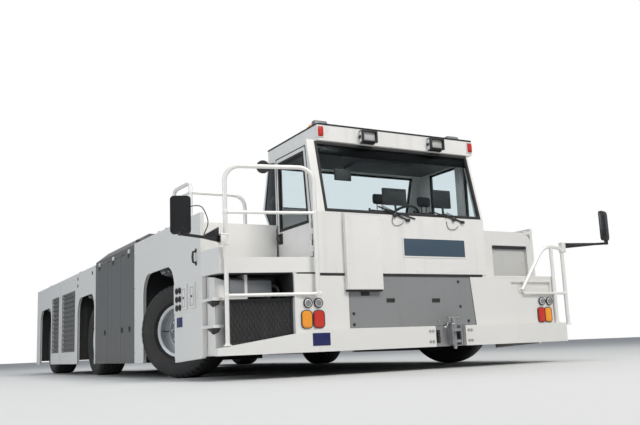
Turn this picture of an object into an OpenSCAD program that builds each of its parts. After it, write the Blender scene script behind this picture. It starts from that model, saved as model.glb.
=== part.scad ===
// Aircraft pushback tractor of the towbarless kind: six wheels, a front cab and an
// open rear bay in which the nose gear of an aircraft stands on a turning cradle.
// X runs to the tractor's left, Y to its rear and Z up from the ground, in millimetres.

/* [Overall] */
// Length from the left mirror to the ends of the rear arms
overall_len = 10360; // [10200:20:10600]
// Width over the mirrors
overall_w = 5520; // [5300:20:5700]
// Width over the side panels
body_w = 4500; // [4400:10:4560]
// Height of the flat deck
deck_z = 1635; // [1600:5:1750]
// Height of the lower edge of the body
skirt_z = 180; // [150:5:230]
// Distance of the bumper face in front of the middle
bumper_front = 4940; // [4900:5:5000]

/* [Wheels] */
// Outside diameter of a tyre
tyre_d = 1072; // [1040:2:1080]
// Width of a tyre
tyre_w = 389; // [360:1:400]
// Diameter of the rim at its flanges
rim_d = 600; // [570:2:620]
// Distance of the wheel centres inside the face of the side panels
wheel_in = 340; // [320:5:360]
// Place of the front wheels in front of the middle
front_wheel_y = 2914; // [2880:2:2940]
// Place of the middle wheels behind the middle
mid_wheel_y = 782; // [740:2:820]
// Distance of the rear wheels in front of the ends of the rear arms
rear_axle_in = 953; // [920:2:990]
// Angle to which the front wheels are turned at rest
front_steer = 34; // [0:1:36]

/* [Body panels] */
// Thickness of the side panels
panel_t = 40; // [25:1:60]
// Width of a wheel arch
arch_w = 1190; // [1180:5:1240]
// Height of the top of a wheel arch
arch_z = 1236; // [1200:2:1260]
// Radius of the upper corners of a wheel arch
arch_r = 260; // [100:5:400]
// Gap between neighbouring panels
panel_gap = 6; // [3:1:12]
// Height of the kerb along the front side panels
kerb_z = 1670; // [1650:5:1690]
// Height of the top of the middle hood
mid_hood_z = 1810; // [1770:5:1850]

/* [Cab] */
// Width of the cab
cab_w = 2170; // [2050:10:2200]
// Sideways place of the middle of the cab
cab_mid_x = -115; // [-150:5:-100]
// Height of the cab floor's lower side
cab_z0 = 1007; // [990:1:1030]
// Height of the lower edge of the windscreen
belt_z = 1640; // [1600:5:1680]
// Height of the top of the roof
roof_z = 2620; // [2560:5:2700]
// Thickness of the cab walls
cab_t = 50; // [35:1:70]
// Gap all round the cab door
door_gap = 8; // [6:1:12]

/* [Rails] */
// Diameter of the guard rails
rail_d = 42; // [34:1:50]
// Diameter of the middle rails
mid_d = 34; // [26:1:40]
// Radius of the bends in the rails
rail_bend = 150; // [100:5:200]

/* [Front] */
// Height of the floors beside the cab
floor_z = 1000; // [990:1:1006]
// Distance by which each front corner is swept back, right and left
right_sweep = 200; // [150:5:240]
left_sweep = 100; // [60:5:160]
// Distance of the front corners inside the face of the side panels
corner_in = 85; // [60:5:130]
// Distance of the bumper's right tip inside the face of the side panels
tip_in = 8; // [2:1:40]
// Sideways place of the right knee, where the sweep begins
knee_x = 1280; // [1240:5:1320]

/* [Mirrors] */
// Width, thickness and height of a mirror head
mirror_w = 190; // [160:5:220]
mirror_t = 60; // [40:5:80]
mirror_h = 350; // [300:5:400]
// Angle by which each mirror is turned inwards
mirror_turn = 20; // [5:1:35]

/* [Nose gear bay] */
// Clear width of the rear bay
bay_w = 1700; // [1660:10:1740]
// Place of the front wall of the bay behind the middle
bay_y = 1000; // [900:10:1060]
// Diameter of the turning cradle
turret_d = 1520; // [1400:10:1560]
// Height of the cradle's platform above the ground
turret_z = 230; // [200:5:280]

/* [Tow coupling] */
// Sideways place of the front tow coupling
coupling_x = 390; // [300:5:440]
// Height of the middle of the coupling jaw
coupling_z = 345; // [330:1:360]
// Diameter of the coupling pin
tow_pin_d = 50; // [38:1:60]
// Clear height of the coupling jaw
jaw_h = 90; // [70:2:110]

/* [Hidden] */
$fn = 64;

white = [0.88, 0.87, 0.84];
grey = [0.45, 0.45, 0.45];
dark = [0.12, 0.12, 0.12];
steel = [0.55, 0.56, 0.58];
glass = [0.35, 0.45, 0.55, 0.4];
amber = [0.95, 0.45, 0.1];
red = [0.75, 0.08, 0.06];

side_x = body_w / 2;
rear_y = overall_len / 2;
face_y = -bumper_front;
wheel_r = tyre_d / 2;
wheel_z = wheel_r;

// One row for each wheel: place along Y, angle at rest, whether its leg turns
FRONT = 0;
MID = 1;
REAR = 2;
wheel_x = side_x - wheel_in;
wheel_y = [-front_wheel_y, mid_wheel_y, rear_y - rear_axle_in];
wheel_turn = [front_steer, 0, 0];

// Body lines along Y
body_y0 = face_y + 623;
mid_y0 = -1944;
mid_y1 = 129;

// Cab lines: places along Y and Z
cab_x0 = cab_mid_x - cab_w / 2;
cab_x1 = cab_mid_x + cab_w / 2;
cab_y0 = face_y + 80;
screen_top_y = cab_y0 + 180;
screen_top_z = 2440;
cab_waist_y = cab_y0 + 1290;
cab_waist_z = 1857;
cab_rear_y = cab_y0 + 960;
cab_rear_z = 1390;
cab_top_rear_y = cab_y0 + 1100;

// Seam between separate pieces that lie against each other
seam = 0.3;

// Limits of a stretch from its middle and half its length
function span(mid, half) = [mid - half, mid + half];

// Box from its limits
module box(x, y, z) {
    translate([x[0], y[0], z[0]]) cube([x[1] - x[0], y[1] - y[0], z[1] - z[0]]);
}

// Outline drawn as [Y, Z], made solid from one X to the other
module along_x(x) {
    translate([x[0], 0, 0]) rotate([90, 0, 90]) linear_extrude(x[1] - x[0]) children();
}

// Outline drawn as [X, Z], made solid from one Y to the other
module along_y(y) {
    translate([0, y[1], 0]) rotate([90, 0, 0]) linear_extrude(y[1] - y[0]) children();
}

// Rectangle from its limits
module rect(a, b) {
    translate([a[0], b[0]]) square([a[1] - a[0], b[1] - b[0]]);
}

// The child and its mirror image on the other side of the tractor
module both_sides() {
    children();
    mirror([1, 0, 0]) children();
}

// The child on the right, side -1, or mirrored to the left, side 1
module on_side(side) {
    if (side < 0) children();
    else mirror([1, 0, 0]) children();
}

// Distance that a bend of radius r takes from each leg at corner i
function bend_cut(p, i, r) =
    let (a = (p[i] - p[i - 1]) / norm(p[i] - p[i - 1]),
        b = (p[i + 1] - p[i]) / norm(p[i + 1] - p[i]))
    r * tan(acos(a * b) / 2);

// Length and swell of the sleeve that joins a bend to a straight run
sleeve_l = 14;
sleeve_d = 1.6;

// Sleeve round a tube at a flat point, along a flat direction
module sleeve(at, dir, d) {
    translate(at - dir * sleeve_l / 2) rotate([0, 0, atan2(dir.y, dir.x)]) rotate([0, 90, 0])
        cylinder(h = sleeve_l, d = d + sleeve_d);
}

// Round tube through flat points, with bent corners joined by sleeves
module flat_tube(p, r, d) {
    n = len(p);
    for (i = [0:n - 2]) {
        dir = (p[i + 1] - p[i]) / norm(p[i + 1] - p[i]);
        from = i == 0 ? 0 : bend_cut(p, i, r) + 1;
        to = i == n - 2 ? 0 : bend_cut(p, i + 1, r) + 1;
        translate(p[i] + dir * from) rotate([0, 0, atan2(dir.y, dir.x)]) rotate([0, 90, 0])
            cylinder(h = norm(p[i + 1] - p[i]) - from - to, d = d);
    }
    if (n > 2) for (i = [1:n - 2]) {
        dir = (p[i] - p[i - 1]) / norm(p[i] - p[i - 1]);
        out = (p[i + 1] - p[i]) / norm(p[i + 1] - p[i]);
        turn = acos(dir * out);
        s = sign(dir.x * out.y - dir.y * out.x);
        side = [-dir.y, dir.x] * s;
        centre = p[i] - dir * bend_cut(p, i, r) + side * r;
        start = atan2(-side.y, -side.x) - (s < 0 ? turn : 0);
        translate(centre) rotate([0, 0, start + 1]) rotate_extrude(angle = turn - 2)
            translate([r, 0]) circle(d = d);
        sleeve(p[i] - dir * bend_cut(p, i, r), dir, d);
        sleeve(p[i] + out * bend_cut(p, i, r), out, d);
    }
}

// Upright tube frame: its points are [distance along the heading, height]
module upright_tube(at, heading, p, r, d) {
    translate(at) rotate([0, 0, heading]) rotate([90, 0, 0]) flat_tube(p, r, d);
}

// Round bar between two points
module bar(a, b, d) {
    v = b - a;
    translate(a) rotate([0, acos(v.z / norm(v)), atan2(v.y, v.x)]) cylinder(h = norm(v), d = d);
}

// Wheel arch opening centred on the wheel at y
module arch(y) {
    rect([y - arch_w / 2, y + arch_w / 2], [0, arch_z - arch_r]);
    rect([y - arch_w / 2 + arch_r, y + arch_w / 2 - arch_r], [0, arch_z]);
    for (s = [-1, 1]) translate([y + s * (arch_w / 2 - arch_r), arch_z - arch_r]) circle(r = arch_r);
}

// Frame lines
front_y = cab_y0 + 60;
girder_x = [bay_w / 2, bay_w / 2 + 230];
girder_z = [330, deck_z - 40];
tall_y0 = cab_rear_y + 200;
floor_t = 61;
deck_t = 40;
deck_under = deck_z - deck_t - seam;
hood_y = [cab_y0 + 420, tall_y0];
hood_x1 = side_x - 152;
floor_x1 = side_x - 200;
mount_d = 110;
beam_w = 200;
low_beam_z = 620;
arm_plate_y = rear_y - 60;

module chassis_frame() color(dark) {
    both_sides() {
        box(girder_x, [tall_y0, arm_plate_y], girder_z);
        box(girder_x, [front_y, tall_y0 + 1], [girder_z[0], floor_z - floor_t]);
        for (y = [front_y + 200, cab_rear_y - 150])
            translate([girder_x[0] + mount_d / 2 + 4, y, floor_z - floor_t - 1])
                cylinder(h = cab_z0 - seam - (floor_z - floor_t - 1), d = mount_d);
    }
    for (y = [bay_y - 240, tall_y0])
        box([-girder_x[0] - 1, girder_x[0] + 1], [y, y + 240], girder_z);
    box([-girder_x[0] - 1, girder_x[0] + 1], [mid_y0 + 44, mid_y0 + 44 + beam_w],
        [girder_z[0], low_beam_z]);
    box([-girder_x[1], floor_x1], [front_y, front_y + 180], [250, bumper_z[1]]);
}

// Plates and boxes over the wheels, from the girders out to the side panels
well_x = [girder_x[1] + seam, side_x - panel_t - seam];
well_t = 20;
axle_box_z = 1300;
axle_box_len = 760;

module wheel_wells() color(dark) both_sides() for (y = wheel_y) {
    box(well_x, span(y, axle_box_len / 2), [axle_box_z, deck_under]);
    for (s = [-1, 1])
        box(well_x, span(y + s * (arch_w / 2 + well_t), well_t / 2), [skirt_z + 60, deck_under]);
}

engine_gap = 60;
engine_y = [mid_y0 + 344, bay_y - 500];
engine_z = [girder_z[0] + 150, deck_z - 135];

module engine_blocks() color(grey) both_sides()
    box([engine_gap, girder_x[0]], engine_y, engine_z);

kerb_x = side_x - panel_t;

module deck_plates() color(white) {
    translate([0, 0, deck_z - deck_t]) linear_extrude(deck_t) difference() {
        polygon([[-kerb_x, platform_y1], [cab_x0 - 10, platform_y1], [cab_x0 - 10, tall_y0],
            [hood_x1 + 2, tall_y0], [hood_x1 + 2, body_y0], [kerb_x, body_y0], [kerb_x, mid_y0],
            [side_x, mid_y0], [side_x, rear_y], [-side_x, rear_y], [-side_x, mid_y0], [-kerb_x, mid_y0]]);
        rect([-bay_w / 2, bay_w / 2], [bay_y, rear_y + 1]);
    }
    both_sides() for (y = side_hinge_y) {
        translate([-side_x - hinge_d / 2, y, door_top]) rotate([90, 0, 0])
            cylinder(h = hinge_l, d = hinge_d);
        box([-side_x - hinge_d, -side_x + 1], [y - hinge_l, y], [door_top, deck_z - 8]);
    }
}

// Raised cover over the engine, with sloping sides
hood_slope = 190;
hood_edge = 30;
hood_ends = [mid_y0 + 2, mid_y1 - 2];

module mid_hood() color(grey)
    along_y(hood_ends)
        polygon([[-side_x + 4, deck_z], [side_x - 4, deck_z], [side_x - 4, deck_z + hood_edge],
            [side_x - hood_slope, mid_hood_z], [-side_x + hood_slope, mid_hood_z],
            [-side_x + 4, deck_z + hood_edge]]);

module side_front() color(white) both_sides()
    along_x([-side_x, -side_x + panel_t]) difference() {
        polygon([[body_y0, skirt_z + 40], [wheel_y[FRONT] - arch_w / 2, skirt_z], [mid_y0, skirt_z],
            [mid_y0, kerb_z], [body_y0, kerb_z]]);
        arch(wheel_y[FRONT]);
    }

hinge_d = 18;
hinge_l = 60;
door_top = deck_z - deck_t - 10;
side_hinge_y = [mid_y0 + 250, (mid_y0 + mid_y1) / 2, mid_y1 - 250];

module side_door(side) color(grey) on_side(side) {
    along_x([-side_x, -side_x + panel_t])
        rect([mid_y0 + panel_gap, mid_y1 - panel_gap], [skirt_z, door_top]);
    for (y = side_hinge_y) {
        translate([-side_x - hinge_d / 2, y + hinge_l + seam, door_top]) rotate([90, 0, 0])
            cylinder(h = hinge_l, d = hinge_d);
        box([-side_x - hinge_d, -side_x + 1], [y + seam, y + hinge_l + seam], [door_top - 60, door_top]);
    }
}

louvre_spans = [[wheel_y[MID] + 808, wheel_y[MID] + 1808],
    [wheel_y[REAR] - 1287, wheel_y[REAR] - 707]];
louvre_z = [400, 1350];
panel_seam_y = (louvre_spans[0][1] + louvre_spans[1][0]) / 2;

// White side panel with one wheel arch and one louvre opening
module side_panel(y, axle, louvre) both_sides()
    along_x([-side_x, -side_x + panel_t]) difference() {
        rect(y, [skirt_z, deck_z - deck_t]);
        arch(wheel_y[axle]);
        rect(louvre, louvre_z);
    }

module side_mid() color(white) side_panel([mid_y1, panel_seam_y - seam], MID, louvre_spans[0]);

module side_rear() color(white) side_panel([panel_seam_y, rear_y], REAR, louvre_spans[1]);

arm_plate_t = 40;

// Plates that close the ends of the two rear arms
module arm_ends() color(white) both_sides() difference() {
    box([girder_x[0], kerb_x - seam], [arm_plate_y + seam, arm_plate_y + arm_plate_t],
        [girder_z[0], deck_under]);
    for (x = tie_x) translate([-x, arm_plate_y - 1, girder_z[0] + 110]) rotate([-90, 0, 0])
        cylinder(h = arm_plate_t + 2, d = 60);
}
tie_x = [-girder_x[0] - 115, -kerb_x + 160];

blade_n = 12;
louvre_t = 11;

module louvres() color(dark) both_sides()
    for (s = louvre_spans) {
        pitch = (louvre_z[1] - louvre_z[0]) / blade_n;
        box([-side_x + panel_t - louvre_t - 1, -side_x + panel_t - 1], s, louvre_z);
        for (i = [0:blade_n - 1])
            box([-side_x + 4, -side_x + panel_t - louvre_t], s,
                span(louvre_z[0] + (i + 0.5) * pitch, pitch / 6));
    }

hatch_x = [-875, 768];
hatch_lean = 52;
lamp_wall_x = -1490;
bumper_z = [235, 452];

module front_body() color(white) {
    along_y([cab_y0, front_y]) difference() {
        polygon([[lamp_wall_x, bumper_z[0] + 5], [step_x, bumper_z[0] + 5], [step_x, 925],
            [cab_x1 + 20, floor_z], [lamp_wall_x, floor_z]]);
        polygon([[hatch_x[0], bumper_z[1]], [hatch_x[1], bumper_z[1]],
            [hatch_x[1] - hatch_lean, floor_z + 1], [hatch_x[0], floor_z + 1]]);
    }
    box([step_x - 40, step_x], [front_y - 1, front_y + 60], [bumper_z[1], 925]);
    along_y([front_y, front_y + 60])
        polygon([[step_x - 1, bumper_z[1]], [floor_x1, bumper_z[1]], [floor_x1, 805], [1560, 820],
            [step_x - 1, 925]]);
    box([cab_x1 + 15, floor_x1], [front_y, tall_y0], [floor_z - floor_t, floor_z]);
    box([lamp_wall_x, lamp_wall_x + 60], [front_y - 1, body_y0], [bumper_z[1], platform_z[0]]);
    box([floor_x1 - 60, floor_x1], [front_y, body_y0], [bumper_z[1], floor_z]);
}

module front_hatch() color(grey)
    along_y([cab_y0 + 6, cab_y0 + 46])
        polygon([[hatch_x[0], bumper_z[1]], [hatch_x[1], bumper_z[1]],
            [hatch_x[1] - hatch_lean, floor_z - 4], [hatch_x[0], floor_z - 4]]);

corner_x = side_x - corner_in;
sweep_slope = right_sweep / (corner_x - knee_x);

// Place of the swept front edge at sideways place x
function swept_y(x) = face_y + (-x - knee_x) * sweep_slope;

right_tip = [-side_x + tip_in, swept_y(-side_x + tip_in)];
right_corner = [-corner_x, face_y + right_sweep];
right_knee = [-knee_x, face_y];
left_corner = [corner_x, face_y + left_sweep];
left_knee = [knee_x, face_y];
beam_end_z = 305;
beam_d = 80;
cut_x = [coupling_x - 255, coupling_x + 150];
cut_in = 60;
step_x = 1320;

// Height of the bumper's sloping top at sideways place x
function beam_top(x) = beam_end_z + (x - right_tip.x) * (bumper_z[1] - beam_end_z) / (-knee_x - right_tip.x);

// Bumper beam seen from above, from one corner round both knees to the other
module bumper_plan()
    polygon([right_tip, right_knee, left_knee, left_corner, left_corner + [0, beam_d],
        [floor_x1 + 2, left_corner.y + beam_d], [floor_x1 + 2, front_y], [step_x, front_y],
        [step_x, cab_y0], [lamp_wall_x, cab_y0], right_tip + [0, beam_d]]);

module front_bumper() color(white) difference() {
    translate([0, 0, bumper_z[0]]) linear_extrude(bumper_z[1] - bumper_z[0]) bumper_plan();
    along_y([face_y - 1, face_y + 400])
        polygon([[right_tip.x - 1, beam_top(right_tip.x - 1)], [-knee_x, bumper_z[1]],
            [-knee_x, bumper_z[1] + 1], [right_tip.x - 1, bumper_z[1] + 1]]);
    box(cut_x, [face_y - 1, face_y + cut_in], [bumper_z[0] - 1, bumper_z[1] + 1]);
}

ear_t = 30;
ear_r = 70;
ear_y = face_y + 10;

module tow_coupling() color(steel) {
    box(cut_x, [face_y + cut_in - 12, face_y + cut_in], bumper_z);
    for (s = [-1, 1])
        translate([coupling_x, ear_y, coupling_z + s * (jaw_h + ear_t) / 2 - ear_t / 2])
            linear_extrude(ear_t) intersection() {
                union() {
                    circle(r = ear_r);
                    rect([-ear_r, ear_r], [0, ear_r]);
                }
                rect([-ear_r, ear_r], [-ear_r, face_y + cut_in - ear_y - 1]);
            }
    translate([coupling_x, ear_y, coupling_z - jaw_h / 2 - 60])
        cylinder(h = jaw_h + 220, d = tow_pin_d);
}

radiator_z = [335, 765];
niche_x = -corner_x + 250;

grille_t = 30;
grille_in = 90;
module radiator_pack() color(dark) {
    translate([0, 0, radiator_z[0]]) linear_extrude(radiator_z[1] - radiator_z[0])
        polygon([for (q = [[-corner_x + 30, 0], [lamp_wall_x, 0], [lamp_wall_x, 1], [-corner_x + 30, 1]])
            [q[0], swept_y(q[0]) + grille_in + q[1] * grille_t]]);
    box([niche_x + 31, lamp_wall_x], [swept_y(niche_x) + grille_in + 10, body_y0 - 60], radiator_z);
}

hood_r = 165;
hood_top = deck_z - 41;
recess_x = [1450, 2012];
recess_z = [1008, 1420];
recess_in = 45;

module hood_left() color(white) difference() {
    along_y(hood_y) {
        rect([cab_x1 + 10, hood_x1 - hood_r], [floor_z, hood_top]);
        rect([hood_x1 - hood_r - 1, hood_x1], [floor_z, hood_top - hood_r]);
        translate([hood_x1 - hood_r, hood_top - hood_r]) circle(r = hood_r);
    }
    box(recess_x, [hood_y[0] - 1, hood_y[0] + recess_in], recess_z);
}

platform_z = [1020, 1172];
platform_y1 = body_y0 + 371;
rail_in = 28;
fascia_in = 75;
tread_z = [500, 760];
tread_t = 30;
tread_w = 305;

bulkhead_t = 40;
side_kerb_z = 1270;
fascia_corner = right_corner + [-25, fascia_in];

module platform_right() color(white) {
    translate([0, 0, platform_z[0]]) linear_extrude(platform_z[1] - platform_z[0])
        polygon([right_knee + [60, fascia_in + 10], fascia_corner, [-side_x, body_y0],
            [-kerb_x, body_y0], [-kerb_x, platform_y1 + bulkhead_t],
            [cab_x0 - 4, platform_y1 + bulkhead_t], [cab_x0 - 4, face_y + fascia_in + 20]]);
    translate([0, 0, platform_z[1] - 1]) linear_extrude(side_kerb_z - platform_z[1] + 1)
        polygon([fascia_corner, [-side_x, body_y0], [-kerb_x, body_y0], fascia_corner + [panel_t, 6]]);
    box([-kerb_x, cab_x0 - 20], [platform_y1, platform_y1 + bulkhead_t], [platform_z[0], deck_under]);
    for (z = tread_z) box([-side_x, niche_x + 1], [body_y0 - tread_w, body_y0 - 28], [z, z + tread_t]);
    box([-side_x, niche_x], [body_y0 - 29, body_y0], [bumper_z[0], platform_z[0] + 1]);
    box([niche_x, niche_x + 30], [body_y0 - tread_w, body_y0], [bumper_z[0], platform_z[0] + 1]);
}

module cab_outline(t) {
    polygon([[cab_y0 + t, cab_z0 + t], [cab_y0 + t, belt_z], [screen_top_y + t, screen_top_z - t],
        [cab_top_rear_y - t, screen_top_z - t], [cab_waist_y - t, cab_waist_z],
        [cab_rear_y - t, cab_rear_z], [cab_rear_y - t, cab_z0 + t]]);
}

door_y = [cab_y0 + 120, cab_rear_y - 50];
door_z = [1190, 2380];
door_t = 45;
window_z = [1560, 2320];
left_window_z = [window_z[0], screen_top_z - 90];

// The left side's windows: a narrow one behind the windscreen's corner, and a wide one
module left_windows() {
    polygon([[cab_y0 + 75, window_z[0]], [cab_y0 + 250, window_z[0]], [cab_y0 + 250, left_window_z[1]],
        [screen_top_y + 45, left_window_z[1]], [cab_y0 + 75, belt_z]]);
    rect(left_window_y, left_window_z);
}

// Outline of the door's window, leaning at the front as the door does
module door_window() polygon([[door_y[0] + 75, window_z[0]], [door_y[0] + 145, window_z[1]],
    [door_y[1] - 58, window_z[1]], [door_y[1] - 58, window_z[0]]]);

module door_outline(c) {
    polygon([[door_y[0] + c, door_z[0] + c], [door_y[0] + c, 1550], [door_y[0] + 95 + c, door_z[1] - c],
        [door_y[1] - c, door_z[1] - c], [door_y[1] - c, door_z[0] + c]]);
}

screen_x = [cab_x0 + 105, cab_x1 - 45];
screen_z = [belt_z + 16, screen_top_z - 22];
rear_window_z = [1900, screen_top_z - 90];
rear_window_x = [cab_x0 + 150, cab_x1 - 150];
left_window_y = [cab_y0 + 380, cab_rear_y - 60];

door_hinge = [cab_x0 - 14, door_y[0] + door_gap];
door_hinge_d = 24;
door_hinge_z = [1300, 1480];
knuckle_h = 60;

cover_x = [-910, -480];
cover_z = [842, 1640];
cover_t = 55;

module cab_shell() color(white) {
    along_x(cover_x) polygon([[cab_y0 + 1, cover_z[0] + 160], [cab_y0 - 2, cover_z[0] + 160],
        [cab_y0 - 2, cover_z[0]], [cab_y0 - cover_t, cover_z[0]], [cab_y0 - cover_t, cover_z[1] - 30],
        [cab_y0 - 10, cover_z[1]], [cab_y0 + 1, cover_z[1]]]);
    difference() {
        along_x([cab_x0, cab_x1]) cab_outline(0);
        along_x([cab_x0 + cab_t, cab_x1 - cab_t]) cab_outline(cab_t);
        along_x([cab_x0 - 1, cab_x0 + cab_t + 1]) door_outline(0);
        along_x([cab_x1 - cab_t - 1, cab_x1 + 1]) left_windows();
        box(screen_x, [cab_y0 - 1, cab_y0 + 300], screen_z);
        box(rear_window_x, [cab_rear_y, cab_waist_y + 10], rear_window_z);
    }
    for (z = door_hinge_z) {
        translate([door_hinge.x, door_hinge.y, z - knuckle_h]) cylinder(h = knuckle_h - seam, d = door_hinge_d);
        box([door_hinge.x, cab_x0 + 1], [door_hinge.y - 40, door_hinge.y - 9], [z - knuckle_h, z - seam]);
        box([door_hinge.x - 4, door_hinge.x + 4], [door_hinge.y - 40, door_hinge.y], [z - knuckle_h, z - seam]);
    }
}

module cab_door() color(white) {
    along_x([cab_x0, cab_x0 + door_t]) difference() {
        door_outline(door_gap);
        door_window();
    }
    for (z = door_hinge_z) {
        translate([door_hinge.x, door_hinge.y, z]) cylinder(h = knuckle_h, d = door_hinge_d);
        box([door_hinge.x, cab_x0 + 1], [door_hinge.y + 2, door_hinge.y + 60], [z, z + knuckle_h]);
    }
}

module cab_door_glass() color(glass)
    along_x([cab_x0 + 20, cab_x0 + 26]) door_window();

roof_drop = 80;
roof_y = [screen_top_y - 20, cab_top_rear_y + 30];
roof_front_x = [cab_x0 + 130, cab_x1 + 48];
roof_rear_x = [cab_x0 + 12, cab_x1 + 60];
beacon_x = [roof_front_x[0] + 75, roof_front_x[1] - 225];
beacon_y = screen_top_y + 200;

module cab_roof() color(white) {
    intersection() {
        along_x([roof_rear_x[0] - 1, roof_rear_x[1] + 1])
            polygon([[roof_y[0], screen_top_z], [roof_y[0], roof_z], [roof_y[1], roof_z - roof_drop],
                [roof_y[1], screen_top_z]]);
        translate([0, 0, screen_top_z - 1]) linear_extrude(roof_z - screen_top_z + 2)
            polygon([[roof_front_x[0], roof_y[0]], [roof_front_x[1], roof_y[0]],
                [roof_rear_x[1], roof_y[1]], [roof_rear_x[0], roof_y[1]]]);
    }
    for (x = beacon_x) translate([x, beacon_y, screen_top_z + 1])
        cylinder(h = roof_z - 8 - screen_top_z - 1, d = 150);
}

pane_t = 6;
screen_lean = (screen_top_y - cab_y0) / (screen_top_z - belt_z);

module cab_glass() color(glass) {
    along_x(screen_x)
        polygon([for (q = [[0, screen_z[0]], [1, screen_z[0]], [1, screen_z[1]], [0, screen_z[1]]])
            [cab_y0 + 12 + q[0] * pane_t + (q[1] - belt_z) * screen_lean, q[1]]]);
    along_x([cab_x1 - 30, cab_x1 - 30 + pane_t]) left_windows();
    rear_lean = (cab_top_rear_y - cab_waist_y) / (screen_top_z - cab_waist_z);
    along_x(rear_window_x)
        polygon([for (q = [[0, rear_window_z[0]], [1, rear_window_z[0]], [1, rear_window_z[1]],
            [0, rear_window_z[1]]])
            [cab_waist_y - 20 - q[0] * pane_t + (q[1] - cab_waist_z) * rear_lean, q[1]]]);
}

seat_x = [-60, 590];
seat_w = 320;
seat_y = cab_y0 + 400;
seat_z = cab_z0 + 393;
cab_floor_z = cab_z0 + cab_t;

module cab_seats() color(dark)
    for (x = seat_x) {
        box([x, x + seat_w], [seat_y, seat_y + 410], [seat_z, seat_z + 80]);
        box([x, x + seat_w], [seat_y + 360, seat_y + 460], [seat_z + 79, seat_z + 660]);
        box([x + 100, x + seat_w - 100], [seat_y + 160, seat_y + 320], [cab_floor_z, seat_z + 1]);
    }

module cab_dash() color(dark)
    along_x([cab_x0 + 560, cab_x1 - cab_t])
        polygon([[cab_y0 + cab_t, cab_floor_z], [cab_y0 + 200, cab_floor_z], [cab_y0 + 240, belt_z - 340],
            [cab_y0 + 300, belt_z - 140], [cab_y0 + 220, belt_z - 40], [cab_y0 + cab_t, belt_z - 10]]);

wiper_x = [-370, 250];

module wipers() color(dark)
    for (x = wiper_x) {
        bar([x, cab_y0 - 8, belt_z + 60], [x + 380, cab_y0 - 8, belt_z - 30], 16);
        translate([x + 190, cab_y0 - 16, belt_z + 15]) rotate([-90, 0, 0]) cylinder(h = 16, d = 30);
    }

lamp_z = [470, 635];
lamp_t = 20;
right_lamps = [[-1422, -1312], [-1290, -1175]];
left_lamps = [[1865, 1965], [1755, 1855]];
rear_lamps_x = [kerb_x - 330, kerb_x - 190];
rear_lamp_z = [1180, 1330, 1480];
marker_w = 62;
marker_z = screen_top_z + 40;
work_x = [-460, 455];
work_w = 178;
work_z = [screen_top_z + 18, screen_top_z + 135];
head_lamps = [[-1350, cab_y0], [-1232, cab_y0], [1828, front_y], [1945, front_y]];

module lamps_amber() color(amber) {
    box(right_lamps[0], [cab_y0 - lamp_t, cab_y0], lamp_z);
    box(left_lamps[0], [front_y - lamp_t, front_y], lamp_z);
    both_sides() box(rear_lamps_x, [arm_plate_y + arm_plate_t, rear_y - 4], [rear_lamp_z[1], rear_lamp_z[2]]);
    for (x = beacon_x) translate([x, beacon_y, roof_z - 8 + seam]) {
        cylinder(h = 22, d = 130);
        cylinder(h = 62, d = 104);
    }
}

module lamps_red() color(red) {
    box(right_lamps[1], [cab_y0 - lamp_t, cab_y0], lamp_z);
    box(left_lamps[1], [front_y - lamp_t, front_y], lamp_z);
    both_sides() box(rear_lamps_x, [arm_plate_y + arm_plate_t, rear_y - 4],
        [rear_lamp_z[0], rear_lamp_z[1] - 6]);
    for (x = [roof_front_x[0] + 4, roof_front_x[1] - marker_w - 4])
        box([x, x + marker_w], [roof_y[0] - 26, roof_y[0]], [marker_z, marker_z + 105]);
}

module lamps_white() color(steel) {
    for (p = head_lamps)
        translate([p.x, p.y, 712]) rotate([90, 0, 0]) cylinder(h = lamp_t, d = 80);
    for (x = work_x) box(span(x, work_w / 2), [roof_y[0] - 60, roof_y[0]], work_z);
}

hoop_z = [1607, 2071];
hoop_at = [right_corner.x + 25, right_corner.y + rail_in];
hoop_len = norm(right_knee - right_corner);
hoop_heading = atan2(right_knee.y - right_corner.y, right_knee.x - right_corner.x);
hoop_foot = beam_top(hoop_at.x + rail_d / 2) + seam;
low_rail_l = (lamp_wall_x - seam - hoop_at.x - mid_d / 2 * abs(sin(hoop_heading))) / cos(hoop_heading);
left_rail_y = front_y - rail_d / 2 - 1;
clamp_w = 56;
right_clamp = [[hoop_at.x - 62, hoop_at.x], [1300, 1385]];
left_clamp = [[side_x - 45, side_x + 15], [1300, 1420]];
rail_foot = 1515;
post_x = side_x - 35;
back_rail = [side_x - 220, cab_y0 + 1420];

module hoop_right() color(white) {
    upright_tube([hoop_at.x, hoop_at.y, 0], hoop_heading,
        [[0, hoop_foot], [0, hoop_z[1]], [hoop_len, hoop_z[1]], [hoop_len, bumper_z[1] + seam]],
        rail_bend, rail_d);
    for (p = [[hoop_z[0], hoop_len], [800, low_rail_l]])
        upright_tube([hoop_at.x, hoop_at.y, 0], hoop_heading, [[0, p[0]], [p[1], p[0]]], rail_bend, mid_d);
    box(right_clamp[0], span(hoop_at.y, clamp_w / 2), right_clamp[1]);
}

module guard_rails() color(white) {
    upright_tube([-back_rail.x, back_rail.y, 0], 0,
        [[0, deck_z], [0, deck_z + 425], [660, deck_z + 425], [660, deck_z]], rail_bend, rail_d);
    upright_tube([rail_foot, left_rail_y, 0], 0,
        [[0, 842], [400, 1372], [post_x - rail_foot, 1350], [post_x - rail_foot, beam_end_z + 122]],
        60, rail_d);
    box(left_clamp[0], span(left_rail_y, clamp_w / 2), left_clamp[1]);
    upright_tube([post_x - 180, left_rail_y, 0], 0, [[0, 1366], [0, bumper_z[1]]], 60, mid_d);
    upright_tube([rail_foot + 15, left_rail_y, 0], 0, [[0, 803], [post_x - rail_foot - 15, 803]], 60, mid_d);
}

module mirror_head_at(x, y, z, turn) {
    translate([x, y, z]) rotate([0, 0, turn])
        translate([-mirror_w / 2, -mirror_t / 2, -mirror_h / 2]) cube([mirror_w, mirror_t, mirror_h]);
}

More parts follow.
